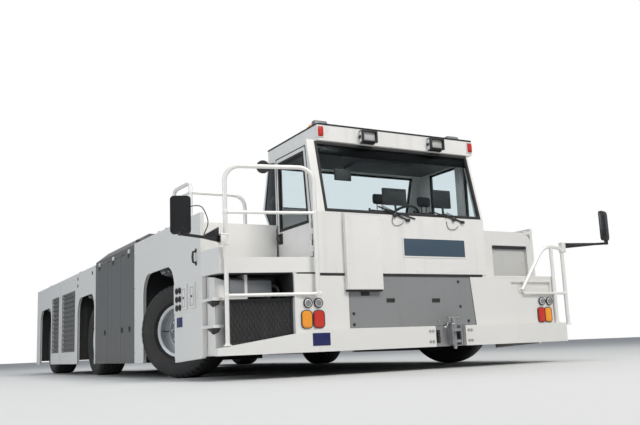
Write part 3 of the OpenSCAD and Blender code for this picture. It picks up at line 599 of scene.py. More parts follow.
class Solid:
    """Gathers closed forms into one piece of the tractor."""

    def __init__(self, at: Matrix | None = None) -> None:
        """Starts empty.

        Args:
            at: Where the piece's own axes lie in the frame of the CAD.
        """
        self.mesh = bmesh.new()
        self.at = at or Matrix.Identity(4)

    def _close(self, made: Iterable[bmesh.types.BMVert], turn: Matrix | None, bevel: float) -> None:
        """Places the newest form and rounds its sharp edges.

        Args:
            made: The form's vertices.
            turn: Its own placement.
            bevel: Radius of its edges.
        """
        verts = list(made)
        if turn is not None:
            bmesh.ops.transform(self.mesh, matrix=turn, verts=verts)
        faces = list(dict.fromkeys(f for v in verts for f in v.link_faces))
        bmesh.ops.recalc_face_normals(self.mesh, faces=faces)
        if bevel > 0:
            edges = dict.fromkeys(e for f in faces for e in f.edges)
            sharp = [e for e in edges if len(e.link_faces) == 2 and e.calc_face_angle(0) > 0.6]
            bmesh.ops.bevel(
                self.mesh, geom=sharp, offset=bevel, segments=2, profile=0.6,
                affect="EDGES", clamp_overlap=True,
            )

    def turn_to(self, at: Matrix) -> None:
        """Keeps what is built so far where it is, and takes new axes for what follows.

        Args:
            at: The new axes.
        """
        self.mesh.transform(at.inverted() @ self.at)
        self.at = at

    def box(
        self, low: Point, high: Point, bevel: float = 0.002, turn: Matrix | None = None
    ) -> None:
        """Adds a box with rounded edges.

        Args:
            low: Lowest corner.
            high: Highest corner.
            bevel: Radius of the edges.
            turn: Placement applied to it.
        """
        made = bmesh.ops.create_cube(self.mesh, size=1.0)["verts"]
        size = Vector(high) - Vector(low)
        middle = (Vector(high) + Vector(low)) / 2
        bmesh.ops.transform(
            self.mesh, matrix=Matrix.Translation(middle) @ Matrix.Diagonal((*size, 1)), verts=made
        )
        self._close(made, turn, bevel)

    def prism(
        self, outline: Sequence[Point], axis: int, low: float, high: float,
        bevel: float = 0.002, turn: Matrix | None = None,
    ) -> None:
        """Adds a prism.

        Args:
            outline: Points in the two other axes, in their order.
            axis: The axis it runs along.
            low: Where it starts on that axis.
            high: Where it ends.
            bevel: Radius of its edges.
            turn: Placement applied to it.
        """
        def point(p: Point, along: float) -> tuple[float, ...]:
            """One corner, with its place along the axis put in."""
            q = list(p)
            q.insert(axis, along)
            return tuple(q)

        rows = [[self.mesh.verts.new(point(p, a)) for p in outline] for a in (low, high)]
        count = len(outline)
        self.mesh.faces.new(rows[0])
        self.mesh.faces.new(rows[1][::-1])
        for i in range(count):
            j = (i + 1) % count
            self.mesh.faces.new((rows[0][i], rows[0][j], rows[1][j], rows[1][i]))
        self._close([v for row in rows for v in row], turn, bevel)

    def ring(
        self, outline: Sequence[Point], inward: float, outward: float, low: float, high: float,
        bevel: float = 0.002,
    ) -> None:
        """Adds a flat frame along an outline in X and Y.

        Args:
            outline: The corners it follows.
            inward: How far it reaches inside them.
            outward: How far it reaches outside them.
            low: Its underside.
            high: Its top.
            bevel: Radius of its edges.
        """
        outer, inner = grown(outline, outward), grown(outline, -inward)
        loops = [(outer, low), (outer, high), (inner, high), (inner, low)]
        rows = [[self.mesh.verts.new((p.x, p.y, z)) for p in loop] for loop, z in loops]
        count = len(outline)
        for i in range(count):
            j = (i + 1) % count
            for k in range(4):
                near, far = rows[k], rows[(k + 1) % 4]
                self.mesh.faces.new((near[i], near[j], far[j], far[i]))
        self._close([v for row in rows for v in row], None, bevel)

    def bolts(self, places: Iterable[Point], across: float = 0.02, proud: float = 0.01) -> None:
        """Adds bolts that stand out of the face along Z.

        Args:
            places: Their places in X and Y.
            across: Width of a head.
            proud: How far they stand out.
        """
        for x, y in places:
            self.bolt((x, y, 0), UP, across, proud)

    def bolt_grid(
        self, columns: Sequence[float], rows: Sequence[float], across: float, proud: float
    ) -> None:
        """Adds a bolt at every crossing of columns and rows, standing out along Z.

        Args:
            columns: Places in X.
            rows: Places in Y.
            across: Width of a head.
            proud: How far they stand out.
        """
        self.bolts([(x, y) for x in columns for y in rows], across, proud)

    def lathe(
        self, profile: Sequence[Point], centre: Point = (0, 0, 0), axis: Point = UP,
        steps: int = 32, angles: Sequence[float] | None = None,
        scallop: Callable[[int, float, float], float] | None = None,
    ) -> None:
        """Adds a turned form from a closed or axis-to-axis profile.

        Args:
            profile: Pairs of distance along the axis and radius; its ends at radius 0 are poles.
            centre: Where distance 0 lies.
            axis: Direction of the axis.
            steps: How many equal steps go round.
            angles: Shares of a turn in place of equal steps.
            scallop: Gives the radius to use from the step, the distance and the radius.
        """
        turns = angles or [i / steps for i in range(steps)]
        place = Matrix.Translation(centre) @ about(axis)
        open_ended = profile[0][1] <= 1e-9 and profile[-1][1] <= 1e-9
        body = profile[1:-1] if open_ended else profile
        rings = []
        for k, share in enumerate(turns):
            c, s = math.cos(2 * math.pi * share), math.sin(2 * math.pi * share)
            row = []
            for along, radius in body:
                r = scallop(k, along, radius) if scallop else radius
                row.append(self.mesh.verts.new((r * c, r * s, along)))
            rings.append(row)
        made = [v for row in rings for v in row]
        poles = []
        if open_ended:
            poles = [self.mesh.verts.new((0, 0, p[0])) for p in (profile[0], profile[-1])]
            made += poles
        for k, row in enumerate(rings):
            after = rings[(k + 1) % len(rings)]
            for i in range(len(row) - 1 if open_ended else len(row)):
                j = (i + 1) % len(row)
                self.mesh.faces.new((row[i], row[j], after[j], after[i]))
            if open_ended:
                self.mesh.faces.new((poles[0], row[0], after[0]))
                self.mesh.faces.new((poles[1], after[-1], row[-1]))
        self._close(made, place, 0)

    def knob(
        self, profile: Sequence[Point], centre: Point = (0, 0, 0), axis: Point = UP,
        steps: int = 32,
    ) -> None:
        """Adds a turned form that is closed flat at both ends.

        Args:
            profile: Pairs of distance along the axis and radius, from the base's rim on.
            centre: Where distance 0 lies.
            axis: Direction of the axis.
            steps: How many equal steps go round.
        """
        base, top = (profile[0][0], 0), (profile[-1][0], 0)
        self.lathe([base, *profile, top], centre, axis, steps)

    def rod(
        self, start: Point, end: Point, radius: float, steps: int = 20, bevel: float = 0.0
    ) -> None:
        """Adds a round bar with chamfered ends.

        Args:
            start: Middle of one end.
            end: Middle of the other.
            radius: Its radius.
            steps: Steps round it.
            bevel: Size of the chamfers.
        """
        run = Vector(end) - Vector(start)
        long, cut = run.length, max(bevel, 1e-5)
        profile = [(0, 0), (0, radius - cut), (cut, radius), (long - cut, radius),
                   (long, radius - cut), (long, 0)]
        self.lathe(profile, start, run, steps)

    def tube(self, path: Sequence[Point], radius: float, sides: int = 10) -> None:
        """Adds a round tube that follows a path.

        Args:
            path: Points along its middle.
            radius: Its radius.
            sides: Sides of its section.
        """
        points = [Vector(p) for p in path]
        rows, normal = [], None
        for i, p in enumerate(points):
            ahead = (points[min(i + 1, len(points) - 1)] - points[max(i - 1, 0)]).normalized()
            if normal is None:
                normal = ahead.orthogonal().normalized()
            normal = (normal - ahead * normal.dot(ahead)).normalized()
            across = ahead.cross(normal)
            rows.append([
                self.mesh.verts.new(
                    p + (normal * math.cos(a) + across * math.sin(a)) * radius
                )
                for a in (2 * math.pi * k / sides for k in range(sides))
            ])
        self.mesh.faces.new(rows[0])
        self.mesh.faces.new(rows[-1][::-1])
        for a, b in zip(rows, rows[1:]):
            for k in range(sides):
                j = (k + 1) % sides
                self.mesh.faces.new((a[k], a[j], b[j], b[k]))
        self._close([v for row in rows for v in row], None, 0)

    def bolt(self, at: Point, axis: Point, across: float = 0.02, proud: float = 0.01) -> None:
        """Adds a hexagon head on a washer.

        Args:
            at: Middle of the washer's underside.
            axis: Direction it stands out in.
            across: Width of the head over its corners.
            proud: How far it stands out.
        """
        washer = proud * 0.25
        r = across / 2
        self.knob([(0, r * 1.25), (washer, r * 1.2)], at, axis, 16)
        head = [(washer, 0), (washer, r), (proud * 0.85, r), (proud, r * 0.82), (proud, 0)]
        self.lathe(head, at, axis, 6)

    def piece(
        self, name: str, finish: Finish, body: str = CHASSIS, smooth: float = 38.0
    ) -> bpy.types.Object:
        """Makes the piece from what was gathered.

        Args:
            name: The piece's name.
            finish: Its finish.
            body: The CAD body it rides on.
            smooth: Edges flatter than this angle, in degrees, are shaded smooth.

        Returns:
            The object.
        """
        self.mesh.transform(self.at)
        if self.at.determinant() < 0:
            bmesh.ops.reverse_faces(self.mesh, faces=self.mesh.faces[:])
        limit = math.radians(smooth)
        for e in self.mesh.edges:
            e.smooth = len(e.link_faces) == 2 and e.calc_face_angle(0) < limit
        for f in self.mesh.faces:
            f.smooth = True
        data = bpy.data.meshes.new(name)
        self.mesh.to_mesh(data)
        self.mesh.free()
        made = bpy.data.objects.new(name, data)
        bpy.context.scene.collection.objects.link(made)
        data.materials.append(finish.material())
        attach(made, body)
        log.info("%s on %s: %d faces", name, body, len(data.polygons))
        return made


class Side(Enum):
    """A side of the tractor, by the sign of its X."""

    RIGHT = -1
    LEFT = 1

    @property
    def word(self) -> str:
        """The side's name in node names."""
        return self.name.lower()

    def wall(self, out: float) -> Matrix:
        """Axes of an upright wall that faces outwards on this side.

        Args:
            out: Its distance from the tractor's middle plane.

        Returns:
            The axes.
        """
        return plane((self.value * out, 0, 0), (0, self.value, 0))

    def span(self, *places: float) -> list[float]:
        """Places of the left side brought to this side, lowest first."""
        return sorted(self.value * p for p in places)


# Places that several sub-assemblies share

FRONT_FACE = (1, 0, 0)
REAR_FACE = (-1, 0, 0)
FACING_FRONT = plane((0, 0, 0), FRONT_FACE)
FACING_REAR = plane((0, 0, 0), REAR_FACE)
CAB_FRONT = plane((0, -4.86, 0), FRONT_FACE)
CAB_RIGHT = Side.RIGHT.wall(1.2)
CAB_LEFT = Side.LEFT.wall(0.97)
BEAM_FRONT = plane((0, -4.94, 0), FRONT_FACE)
DECK_Z = 1.635
COVER_Z = 1.81
FLANK_X = 2.25
BEACONS_X = (-0.995, 0.793)
BEACON_YZ = (-4.48, 2.612)
MARKERS_X = (-1.035, 0.983)
WORK_LAMPS_X = ((-0.549, -0.371), (0.366, 0.544))


# Sub-assemblies


@dataclass
class FrameDress:
    """Finishes of the CAD's own solids, and the small radius on their edges."""

    edge: float = 0.004
    finishes: dict[str, Finish] = field(default_factory=lambda: {
        "chassis_frame": Finish.FRAME, "engine_blocks": Finish.LEG, "deck_plates": Finish.WHITE,
        "side_front": Finish.WHITE, "side_mid": Finish.WHITE, "side_rear": Finish.WHITE,
        "arm_ends": Finish.WHITE, "mid_hood": Finish.DOOR_GREY, "wheel_wells": Finish.FRAME,
        "hoop_right": Finish.WHITE, "louvres": Finish.DOOR_GREY,
        "side_door": Finish.DOOR_GREY, "front_body": Finish.WHITE, "front_bumper": Finish.WHITE,
        "front_hatch": Finish.HATCH, "radiator_pack": Finish.SATIN_BLACK, "hood_left": Finish.WHITE,
        "platform_right": Finish.WHITE, "cab_shell": Finish.SHELL, "cab_roof": Finish.SHELL,
        "cab_glass": Finish.GLASS, "cab_door_glass": Finish.GLASS, "cab_door": Finish.SHELL,
        "cab_seats": Finish.FABRIC, "cab_dash": Finish.TRIM, "wipers": Finish.BLACK,
        "lamps_amber": Finish.AMBER, "lamps_red": Finish.RED, "lamps_white": Finish.CLEAR,
        "guard_rails": Finish.WHITE, "mirrors": Finish.BLACK, "tow_coupling": Finish.STEEL,
        "cradle_carrier": Finish.FRAME, "cradle_turret": Finish.STEEL, "cradle_ramp": Finish.STEEL,
        "leg": Finish.LEG, "rim": Finish.RIM, "tyre": Finish.TYRE,
    })
    rounded: tuple[str, ...] = (
        "deck_plates", "side_front", "side_mid", "side_rear", "arm_ends", "mid_hood", "side_door",
        "front_body", "front_bumper", "front_hatch", "hood_left", "platform_right", "cab_shell",
        "cab_roof", "cab_door",
    )

    def build(self) -> None:
        """Gives each node its finish, and a small bevel where it is a folded or welded panel."""
        for name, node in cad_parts.items():
            key = max((k for k in self.finishes if name.startswith(k)), key=len)
            node.data.materials.clear()
            node.data.materials.append(self.finishes[key].material())
            if key in self.rounded:
                bevel = node.modifiers.new("edge", "BEVEL")
                bevel.width, bevel.segments, bevel.limit_method = self.edge, 2, "ANGLE"
                bevel.angle_limit = math.radians(50)
                bevel.harden_normals = True


@dataclass(frozen=True)
class Station:
    """Where one wheel stands, and how far it is turned at rest."""

    axle: str
    side: Side
    y: float
    turn: float = 0.0
    steered: bool = True
    x: float = 1.91
    axle_z: float = 0.536

    @property
    def name(self) -> str:
        """The axle and side, as in node names."""
        return f"{self.axle}_{self.side.word}"

    def axes(self, height: float) -> Matrix:
        """Axes of the wheel and its leg: +X runs inboard.

        Args:
            height: Height of their origin.

        Returns:
            The axes.
        """
        s = self.side.value
        turn = Matrix.Rotation(math.radians(self.turn), 4, "Z")
        return (Matrix.Translation((s * self.x, self.y, height)) @ turn
                @ Matrix.Diagonal((-s, 1, 1, 1)))


@dataclass
class Wheel:
    """One tyre with its tread, and what is bolted to the rim."""

    station: Station
    width: float = 0.389
    seat: float = 0.2863
    bead: float = 0.1385
    pitches: int = 44
    block_depth: float = 0.013
    shoulder: float = 0.128
    groove_r: float = 0.493
    disc_face: float = -0.02
    nut_circle: float = 0.165
    nuts: int = 10

    def tyre_profile(self) -> list[tuple[float, float]]:
        """Half section of the tyre, from inner bead to outer bead, then mirrored and closed."""
        half = self.width / 2
        crown = self.station.axle_z
        side = [
            (self.bead, self.seat), (self.bead, 0.3005), (self.bead + 0.006, 0.309),
            (self.bead + 0.02, 0.316), (self.bead + 0.034, 0.33), (self.bead + 0.0395, 0.334),
            (self.bead + 0.0395, 0.339), (self.bead + 0.041, 0.345), (half - 0.008, 0.372),
            (half - 0.0065, 0.373), (half - 0.0065, 0.379), (half - 0.0075, 0.38),
            (half - 0.002, 0.405), (half - 0.0005, 0.432), (half - 0.001, 0.456),
            (half - 0.0035, 0.474), (half - 0.0005, 0.477), (half - 0.003, 0.492),
            (half - 0.011, 0.507), (half - 0.024, 0.52), (half - 0.034, 0.5255),
        ]
        tread = []
        for middle in (0.118, 0.058, 0.0):
            tread += [(middle + 0.008, crown - 0.002 - 0.06 * middle ** 2),
                      (middle + 0.005, crown - 0.014), (middle - 0.005, crown - 0.014),
                      (middle - 0.008, crown - 0.06 * middle ** 2)]
        half_section = side + tread[:-2]
        return half_section + [(-a, r) for a, r in half_section[::-1]]

    def tyre(self) -> None:
        """Makes the moulded tyre that stands for the plain CAD one."""
        shares = []
        for k in range(self.pitches):
            shares += [(k + s) / self.pitches for s in (0.0, 0.13, 0.17, 0.55, 0.95)]

        def scallop(step: int, along: float, radius: float) -> float:
            """Cuts the grooves across the shoulders."""
            phase = step % 5
            if abs(along) > self.shoulder and radius > self.groove_r and phase in (0, 1):
                return radius - self.block_depth * min(1.0, (radius - 0.49) / 0.03)
            return radius

        name = self.station.name
        tyre = Solid(self.station.axes(self.station.axle_z))
        tyre.lathe(self.tyre_profile(), axis=(1, 0, 0), angles=shares, scallop=scallop)
        made = tyre.piece(f"tread_{name}", Finish.TYRE, f"wheel_{name}", 32)
        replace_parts(made, f"tyre_{name}")

    def rim_gear(self) -> None:
        """Makes the hub, the nuts and the valve on the rim's disc."""
        name, face = self.station.name, self.disc_face
        body, at = f"wheel_{name}", self.station.axes(self.station.axle_z)
        hub = Solid(at)
        hub.lathe([(face, 0), (face, 0.215), (face - 0.004, 0.217), (face - 0.012, 0.205),
                   (face - 0.014, 0.19), (face - 0.01, 0.145), (face - 0.052, 0.128),
                   (face - 0.058, 0.12), (face - 0.06, 0.105), (face - 0.078, 0.098),
                   (face - 0.084, 0.088), (face - 0.086, 0.0)][::-1], axis=(1, 0, 0), steps=64)
        hub.piece(f"hub_{name}", Finish.HUB, body)
        nuts = Solid(at)
        outer = on_circle(self.nuts, self.nut_circle)
        inner = on_circle(self.nuts, 0.07, 0.3 * self.nuts / (2 * math.pi))
        for nut, bolt in zip(outer, inner):
            nuts.bolt((face - 0.012, *nut), (-1, 0, 0), 0.036, 0.026)
            nuts.rod((face - 0.02, *nut), (face - 0.048, *nut), 0.01, 12, 0.002)
            nuts.bolt((face - 0.082, *bolt), (-1, 0, 0), 0.016, 0.008)
        nuts.piece(f"wheel_nuts_{name}", Finish.BOLT, body)
        valve = Solid(at)
        valve.tube([(face - 0.01, 0.225, 0.0), (face - 0.05, 0.235, 0.0),
                    (face - 0.085, 0.238, 0.0)], 0.005, 8)
        valve.rod((face - 0.085, 0.238, 0.0), (face - 0.105, 0.238, 0.0), 0.007, 12, 0.002)
        valve.piece(f"valve_{name}", Finish.BLACK, body)

    def build(self) -> None:
        """Makes the whole wheel."""
        self.tyre()
        self.rim_gear()


@dataclass
class CabGlazing:
    """Rubber seals round the panes, and the tinted band along the windscreen's top."""

    lean: Point = (0.0, 0.2195, 0.9756)
    screen: tuple[Point, ...] = rect(-1.095, 0.0164, 0.925, 0.7975)
    band_low: float = 0.665
    door: tuple[Point, ...] = ((4.665, 1.56), (4.595, 2.32), (4.008, 2.32), (4.008, 1.56))
    wide: tuple[Point, ...] = rect(-4.48, 1.56, -3.96, 2.35)
    quarter: tuple[Point, ...] = (
        (-4.785, 1.56), (-4.61, 1.56), (-4.61, 2.35), (-4.635, 2.35), (-4.785, 1.64),
    )
    rear_lean: Point = (0.0, -0.3099, 0.9508)
    rear: tuple[Point, ...] = rect(-0.82, 0.0452, 1.05, 0.5185)

    def seal(self, name: str, body: str, at: Matrix, outlines: Iterable[Sequence[Point]]) -> None:
        """Makes the channel of rubber round one or more panes.

        Args:
            name: Name of the piece.
            body: The CAD body it rides on.
            at: Axes of the wall's outer face.
            outlines: Edges of the openings.
        """
        rubber = Solid(at)
        for outline in outlines:
            rubber.ring(outline, 0.02, 0.013, -0.024, 0.004)
            rubber.ring(outline, 0.012, 0.004, 0.001, 0.007, 0.001)
        rubber.piece(name, Finish.SEAL, body)

    def build(self) -> None:
        """Makes every seal and the band."""
        front = plane((0, -4.86, 1.64), FRONT_FACE, self.lean)
        self.seal("windscreen_seal", CHASSIS, front, [self.screen])
        self.seal("door_pane_seal", "cab_door", CAB_RIGHT, [self.door])
        self.seal("left_pane_seals", CHASSIS, CAB_LEFT, [self.wide, self.quarter])
        back = plane((0, -3.57, 1.857), REAR_FACE, self.rear_lean)
        self.seal("rear_pane_seal", CHASSIS, back, [self.rear])
        band = Solid(front)
        band.box((-1.085, self.band_low, -0.0225), (0.915, 0.79, -0.019), 0.0005)
        band.piece("windscreen_band", Finish.SUN_BAND)


@dataclass
class CabInside:
    """What is seen through the panes: seats, steering wheel, screens, mirror and lining."""

    seats_x: tuple[float, ...] = (-0.06, 0.59)
    seat_w: float = 0.32
    wheel_at: Point = (0.1, -4.525, 1.665)
    wheel_r: float = 0.19
    screens: tuple[tuple[float, float, float, float], ...] = (
        (-0.246, 0.064, 1.795, 1.985), (0.443, 0.687, 1.795, 2.005),
    )
    screen_y: float = -4.635
    voxel: float = 0.013
    pressure: float = 4.0
    cloth_steps: int = 14
    seams: tuple[float, float] = (0.62, 0.66)
    channel_w: float = 0.014
    channel_deep: float = 0.006

    def cushion(
        self, name: str, low: Point, high: Point, swell: float, copies: Sequence[float]
    ) -> None:
        """Makes one padded block by blowing up a slightly smaller one, and its copies along X.

        Args:
            name: Name of the pieces.
            low: Lowest corner of the space it fills.
            high: Highest corner.
            swell: Most that a point may move.
            copies: Shifts along X, one for each piece.
        """
        form = Solid()
        gap = swell * 0.75
        form.box([a + gap for a in low], [b - gap for b in high], 0.018)
        pad = form.piece(name + "_0", Finish.FABRIC, smooth=180)
        remesh = pad.modifiers.new("remesh", "REMESH")
        remesh.mode, remesh.voxel_size = "VOXEL", self.voxel
        self.apply(pad)
        self.blow_up(pad, swell)
        self.press_seams(pad, low, high)
        sub = pad.modifiers.new("smooth", "SUBSURF")
        sub.levels = sub.render_levels = 1
        self.apply(pad)
        for f in pad.data.polygons:
            f.use_smooth = True
        pads = [pad]
        for i, shift in enumerate(copies[1:], 1):
            data = pad.data.copy()
            data.transform(Matrix.Translation((shift, 0, 0)))
            twin = bpy.data.objects.new(f"{name}_{i}", data)
            bpy.context.scene.collection.objects.link(twin)
            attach(twin, CHASSIS)
            pads.append(twin)
        for made in pads:
            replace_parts(made, "cab_seats")

    def blow_up(self, pad: bpy.types.Object, swell: float) -> None:
        """Swells a closed pad by the pressure inside it.

        Args:
            pad: The pad.
            swell: Most that a point may move.
        """
        start = bpy.context.scene.frame_current
        before = [v.co.copy() for v in pad.data.vertices]
        cloth = pad.modifiers.new("cloth", "CLOTH").settings
        cloth.use_pressure, cloth.uniform_pressure_force = True, self.pressure
        cloth.effector_weights.gravity = 0.0
        for step in range(1, self.cloth_steps + 1):
            bpy.context.scene.frame_set(step)
        self.apply(pad)
        bpy.context.scene.frame_set(start)
        for v, old in zip(pad.data.vertices, before):
            move = v.co - old
            if move.length > swell:
                v.co = old + move * (swell / move.length)

    def press_seams(self, pad: bpy.types.Object, low: Point, high: Point) -> None:
        """Presses seams into a pad's broad faces, and holds it inside its space.

        Args:
            pad: The pad.
            low: Lowest corner of the space.
            high: Highest corner.
        """
        middle = [(a + b) / 2 for a, b in zip(low, high)]
        half = [(b - a) / 2 for a, b in zip(low, high)]
        flat = min(range(3), key=lambda k: half[k])
        across, along = [k for k in range(3) if k != flat]
        for v in pad.data.vertices:
            u = (v.co[across] - middle[across]) / half[across]
            w = (v.co[along] - middle[along]) / half[along]
            seam = min(abs(abs(u) - self.seams[0]) * half[across],
                       abs(abs(w) - self.seams[1]) * half[along])
            channel = max(0.0, 1.0 - seam / self.channel_w)
            side = math.copysign(1.0, v.co[flat] - middle[flat])
            v.co[flat] -= side * channel * self.channel_deep
            for k in range(3):
                v.co[k] = min(max(v.co[k], low[k]), high[k])

    @staticmethod
    def apply(thing: bpy.types.Object) -> None:
        """Bakes an object's modifiers into its mesh."""
        depsgraph = bpy.context.evaluated_depsgraph_get()
        done = bpy.data.meshes.new_from_object(thing.evaluated_get(depsgraph), depsgraph=depsgraph)
        thing.modifiers.clear()
        thing.data = done

    def seats(self) -> None:
        """Makes both seats: padded cushion and back on a pedestal with a bellows."""
        x0, x1 = self.seats_x[0], self.seats_x[0] + self.seat_w
        shifts = [x - x0 for x in self.seats_x]
        self.cushion("seat_cushion", (x0, -4.455, 1.402), (x1, -4.085, 1.5), 0.018, shifts)
        self.cushion("seat_back", (x0 + 0.008, -4.1, 1.505), (x1 - 0.008, -4.01, 1.885),
                     0.018, shifts)
        self.cushion("seat_headrest", (x0 + 0.06, -4.095, 1.915), (x1 - 0.06, -4.02, 2.055),
                     0.012, shifts)
        for i, x in enumerate(self.seats_x):
            stand = Solid(Matrix.Translation((x, 0, 0)))
            stand.box((0.03, -4.43, 1.378), (0.29, -4.03, 1.403), 0.008)
            for k in range(5):
                z = 1.14 + k * 0.047
                stand.box((0.075, -4.335, z), (0.245, -4.125, z + 0.04), 0.015)
            stand.box((0.05, -4.37, 1.057), (0.27, -4.07, 1.095), 0.006)
            stand.box((0.075, -4.325, 1.09), (0.245, -4.135, 1.16), 0.006)
            stand.box((0.03, -4.03, 1.39), (0.05, -4.008, 1.88), 0.005)
            stand.box((0.27, -4.03, 1.39), (0.29, -4.008, 1.88), 0.005)
            for dx in (0.125, 0.195):
                stand.rod((dx, -4.055, 1.86), (dx, -4.055, 1.94), 0.006, 10)
            stand.knob([(0, 0.016), (0.05, 0.018), (0.055, 0.012)],
                       (0.0, -4.12, 1.42), (1, 0, 0), 16)
            stand.piece(f"seat_stand_{i}", Finish.TRIM)

    def steering(self) -> None:
        """Makes the steering wheel and its column."""
        axis = Vector((0, 0.62, 0.78)).normalized()
        at = Matrix.Translation(self.wheel_at) @ about(axis)
        wheel = Solid(at)
        ring = [(x, y, 0.012) for x, y in on_circle(40, self.wheel_r)]
        wheel.tube(ring + ring[:2], 0.0145, 10)
        for x, y in on_circle(3, self.wheel_r, -0.75):
            wheel.tube([(0, 0, -0.006), (x * 0.4, y * 0.4, -0.004), (x, y, 0.012)], 0.011, 8)
        wheel.lathe([(-0.03, 0), (-0.03, 0.045), (0.0, 0.055), (0.012, 0.04), (0.016, 0)], steps=24)
        wheel.rod((0, 0, -0.19), (0, 0, -0.02), 0.026, 16)
        wheel.piece("steering_wheel", Finish.BLACK)

    def displays(self) -> None:
        """Makes the two screens on their stalks."""
        for i, (x0, x1, z0, z1) in enumerate(self.screens):
            y = self.screen_y
            case = Solid()
            case.box((x0, y - 0.022, z0), (x1, y + 0.012, z1), 0.008)
            for k in range(6):
                z = z0 + (z1 - z0) * (k + 1) / 7
                case.box((x0 + 0.03, y - 0.025, z - 0.004), (x1 - 0.03, y - 0.02, z + 0.004), 0.001)
            mid = (x0 + x1) / 2
            case.tube([(mid, y - 0.01, z0 + 0.03), (mid, y - 0.022, z0 - 0.04),
                       (mid, y, z0 - 0.12), (mid, y + 0.004, 1.585)], 0.013, 10)
            case.knob([(0, 0.034), (0.012, 0.03), (0.02, 0.018)], (mid, y + 0.004, 1.583), steps=20)
            case.piece(f"screen_case_{i}", Finish.BLACK)
            face = Solid()
            face.box((x0 + 0.012, y + 0.011, z0 + 0.012), (x1 - 0.012, y + 0.014, z1 - 0.012),
                     0.001)
            face.piece(f"screen_face_{i}", Finish.SCREEN)

    def switches(self) -> None:
        """Makes the row of knobs, the instrument hood and the lever."""
        panel = Solid()
        for k in range(7):
            x = 0.3 + k * 0.036
            panel.lathe([(0, 0), (0, 0.013), (0.012, 0.011), (0.014, 0)], (x, -4.585, 1.5565),
                        (0, 0.78, 0.62), 14)
        panel.box((-0.12, -4.7, 1.603), (0.32, -4.63, 1.64), 0.012)
        panel.tube([(0.36, -4.575, 1.53), (0.37, -4.53, 1.6), (0.37, -4.52, 1.66)], 0.008, 8)
        panel.lathe([(0, 0), (0, 0.014), (0.03, 0.02), (0.045, 0.014), (0.05, 0)],
                    (0.37, -4.52, 1.655), steps=16)
        panel.piece("dash_switches", Finish.BLACK)

    def lining(self) -> None:
        """Makes the dark headliner, the inner mirror, the mat and the lower wall lining."""
        liner = Solid()
        liner.box((-1.143, -4.652, 2.362), (0.913, -3.815, 2.389), 0.004)
        liner.box((-1.143, -4.672, 2.3), (0.913, -4.65, 2.389), 0.004)
        liner.box((-0.35, -4.45, 2.325), (0.35, -3.95, 2.364), 0.012)
        for x in (-0.25, 0.0, 0.25):
            liner.knob([(0, 0.045), (0.008, 0.04), (0.012, 0.02)],
                       (x, -4.39, 2.327), (0, 0, -1), 20)
        liner.piece("headliner", Finish.TRIM)
        mirror = Solid()
        mirror.box((-0.85, -4.655, 2.03), (-0.645, -4.628, 2.155), 0.01)
        mirror.tube([(-0.745, -4.64, 2.14), (-0.745, -4.66, 2.22), (-0.745, -4.655, 2.305)],
                    0.008, 8)
        mirror.piece("inner_mirror", Finish.BLACK)
        face = Solid()
        face.box((-0.84, -4.629, 2.04), (-0.655, -4.626, 2.145), 0.001)
        face.piece("inner_mirror_glass", Finish.MIRROR)
        lower = Solid()
        lower.box((-1.13, -4.53, 1.0565), (-0.1, -3.97, 1.064))
        for k in range(9):
            lower.box((-1.1 + k * 0.11, -4.5, 1.063), (-1.06 + k * 0.11, -4.0, 1.067), 0.001)
        lower.box((-0.6, -3.972, 1.08), (0.9, -3.95, 1.4), 0.006)
        lower.box((0.894, -4.53, 1.08), (0.9195, -3.97, 1.53), 0.006)
        lower.piece("cab_lining", Finish.TRIM)

    def build(self) -> None:
        """Makes all of the inside."""
        self.seats()
        self.steering()
        self.displays()
        self.switches()
        self.lining()


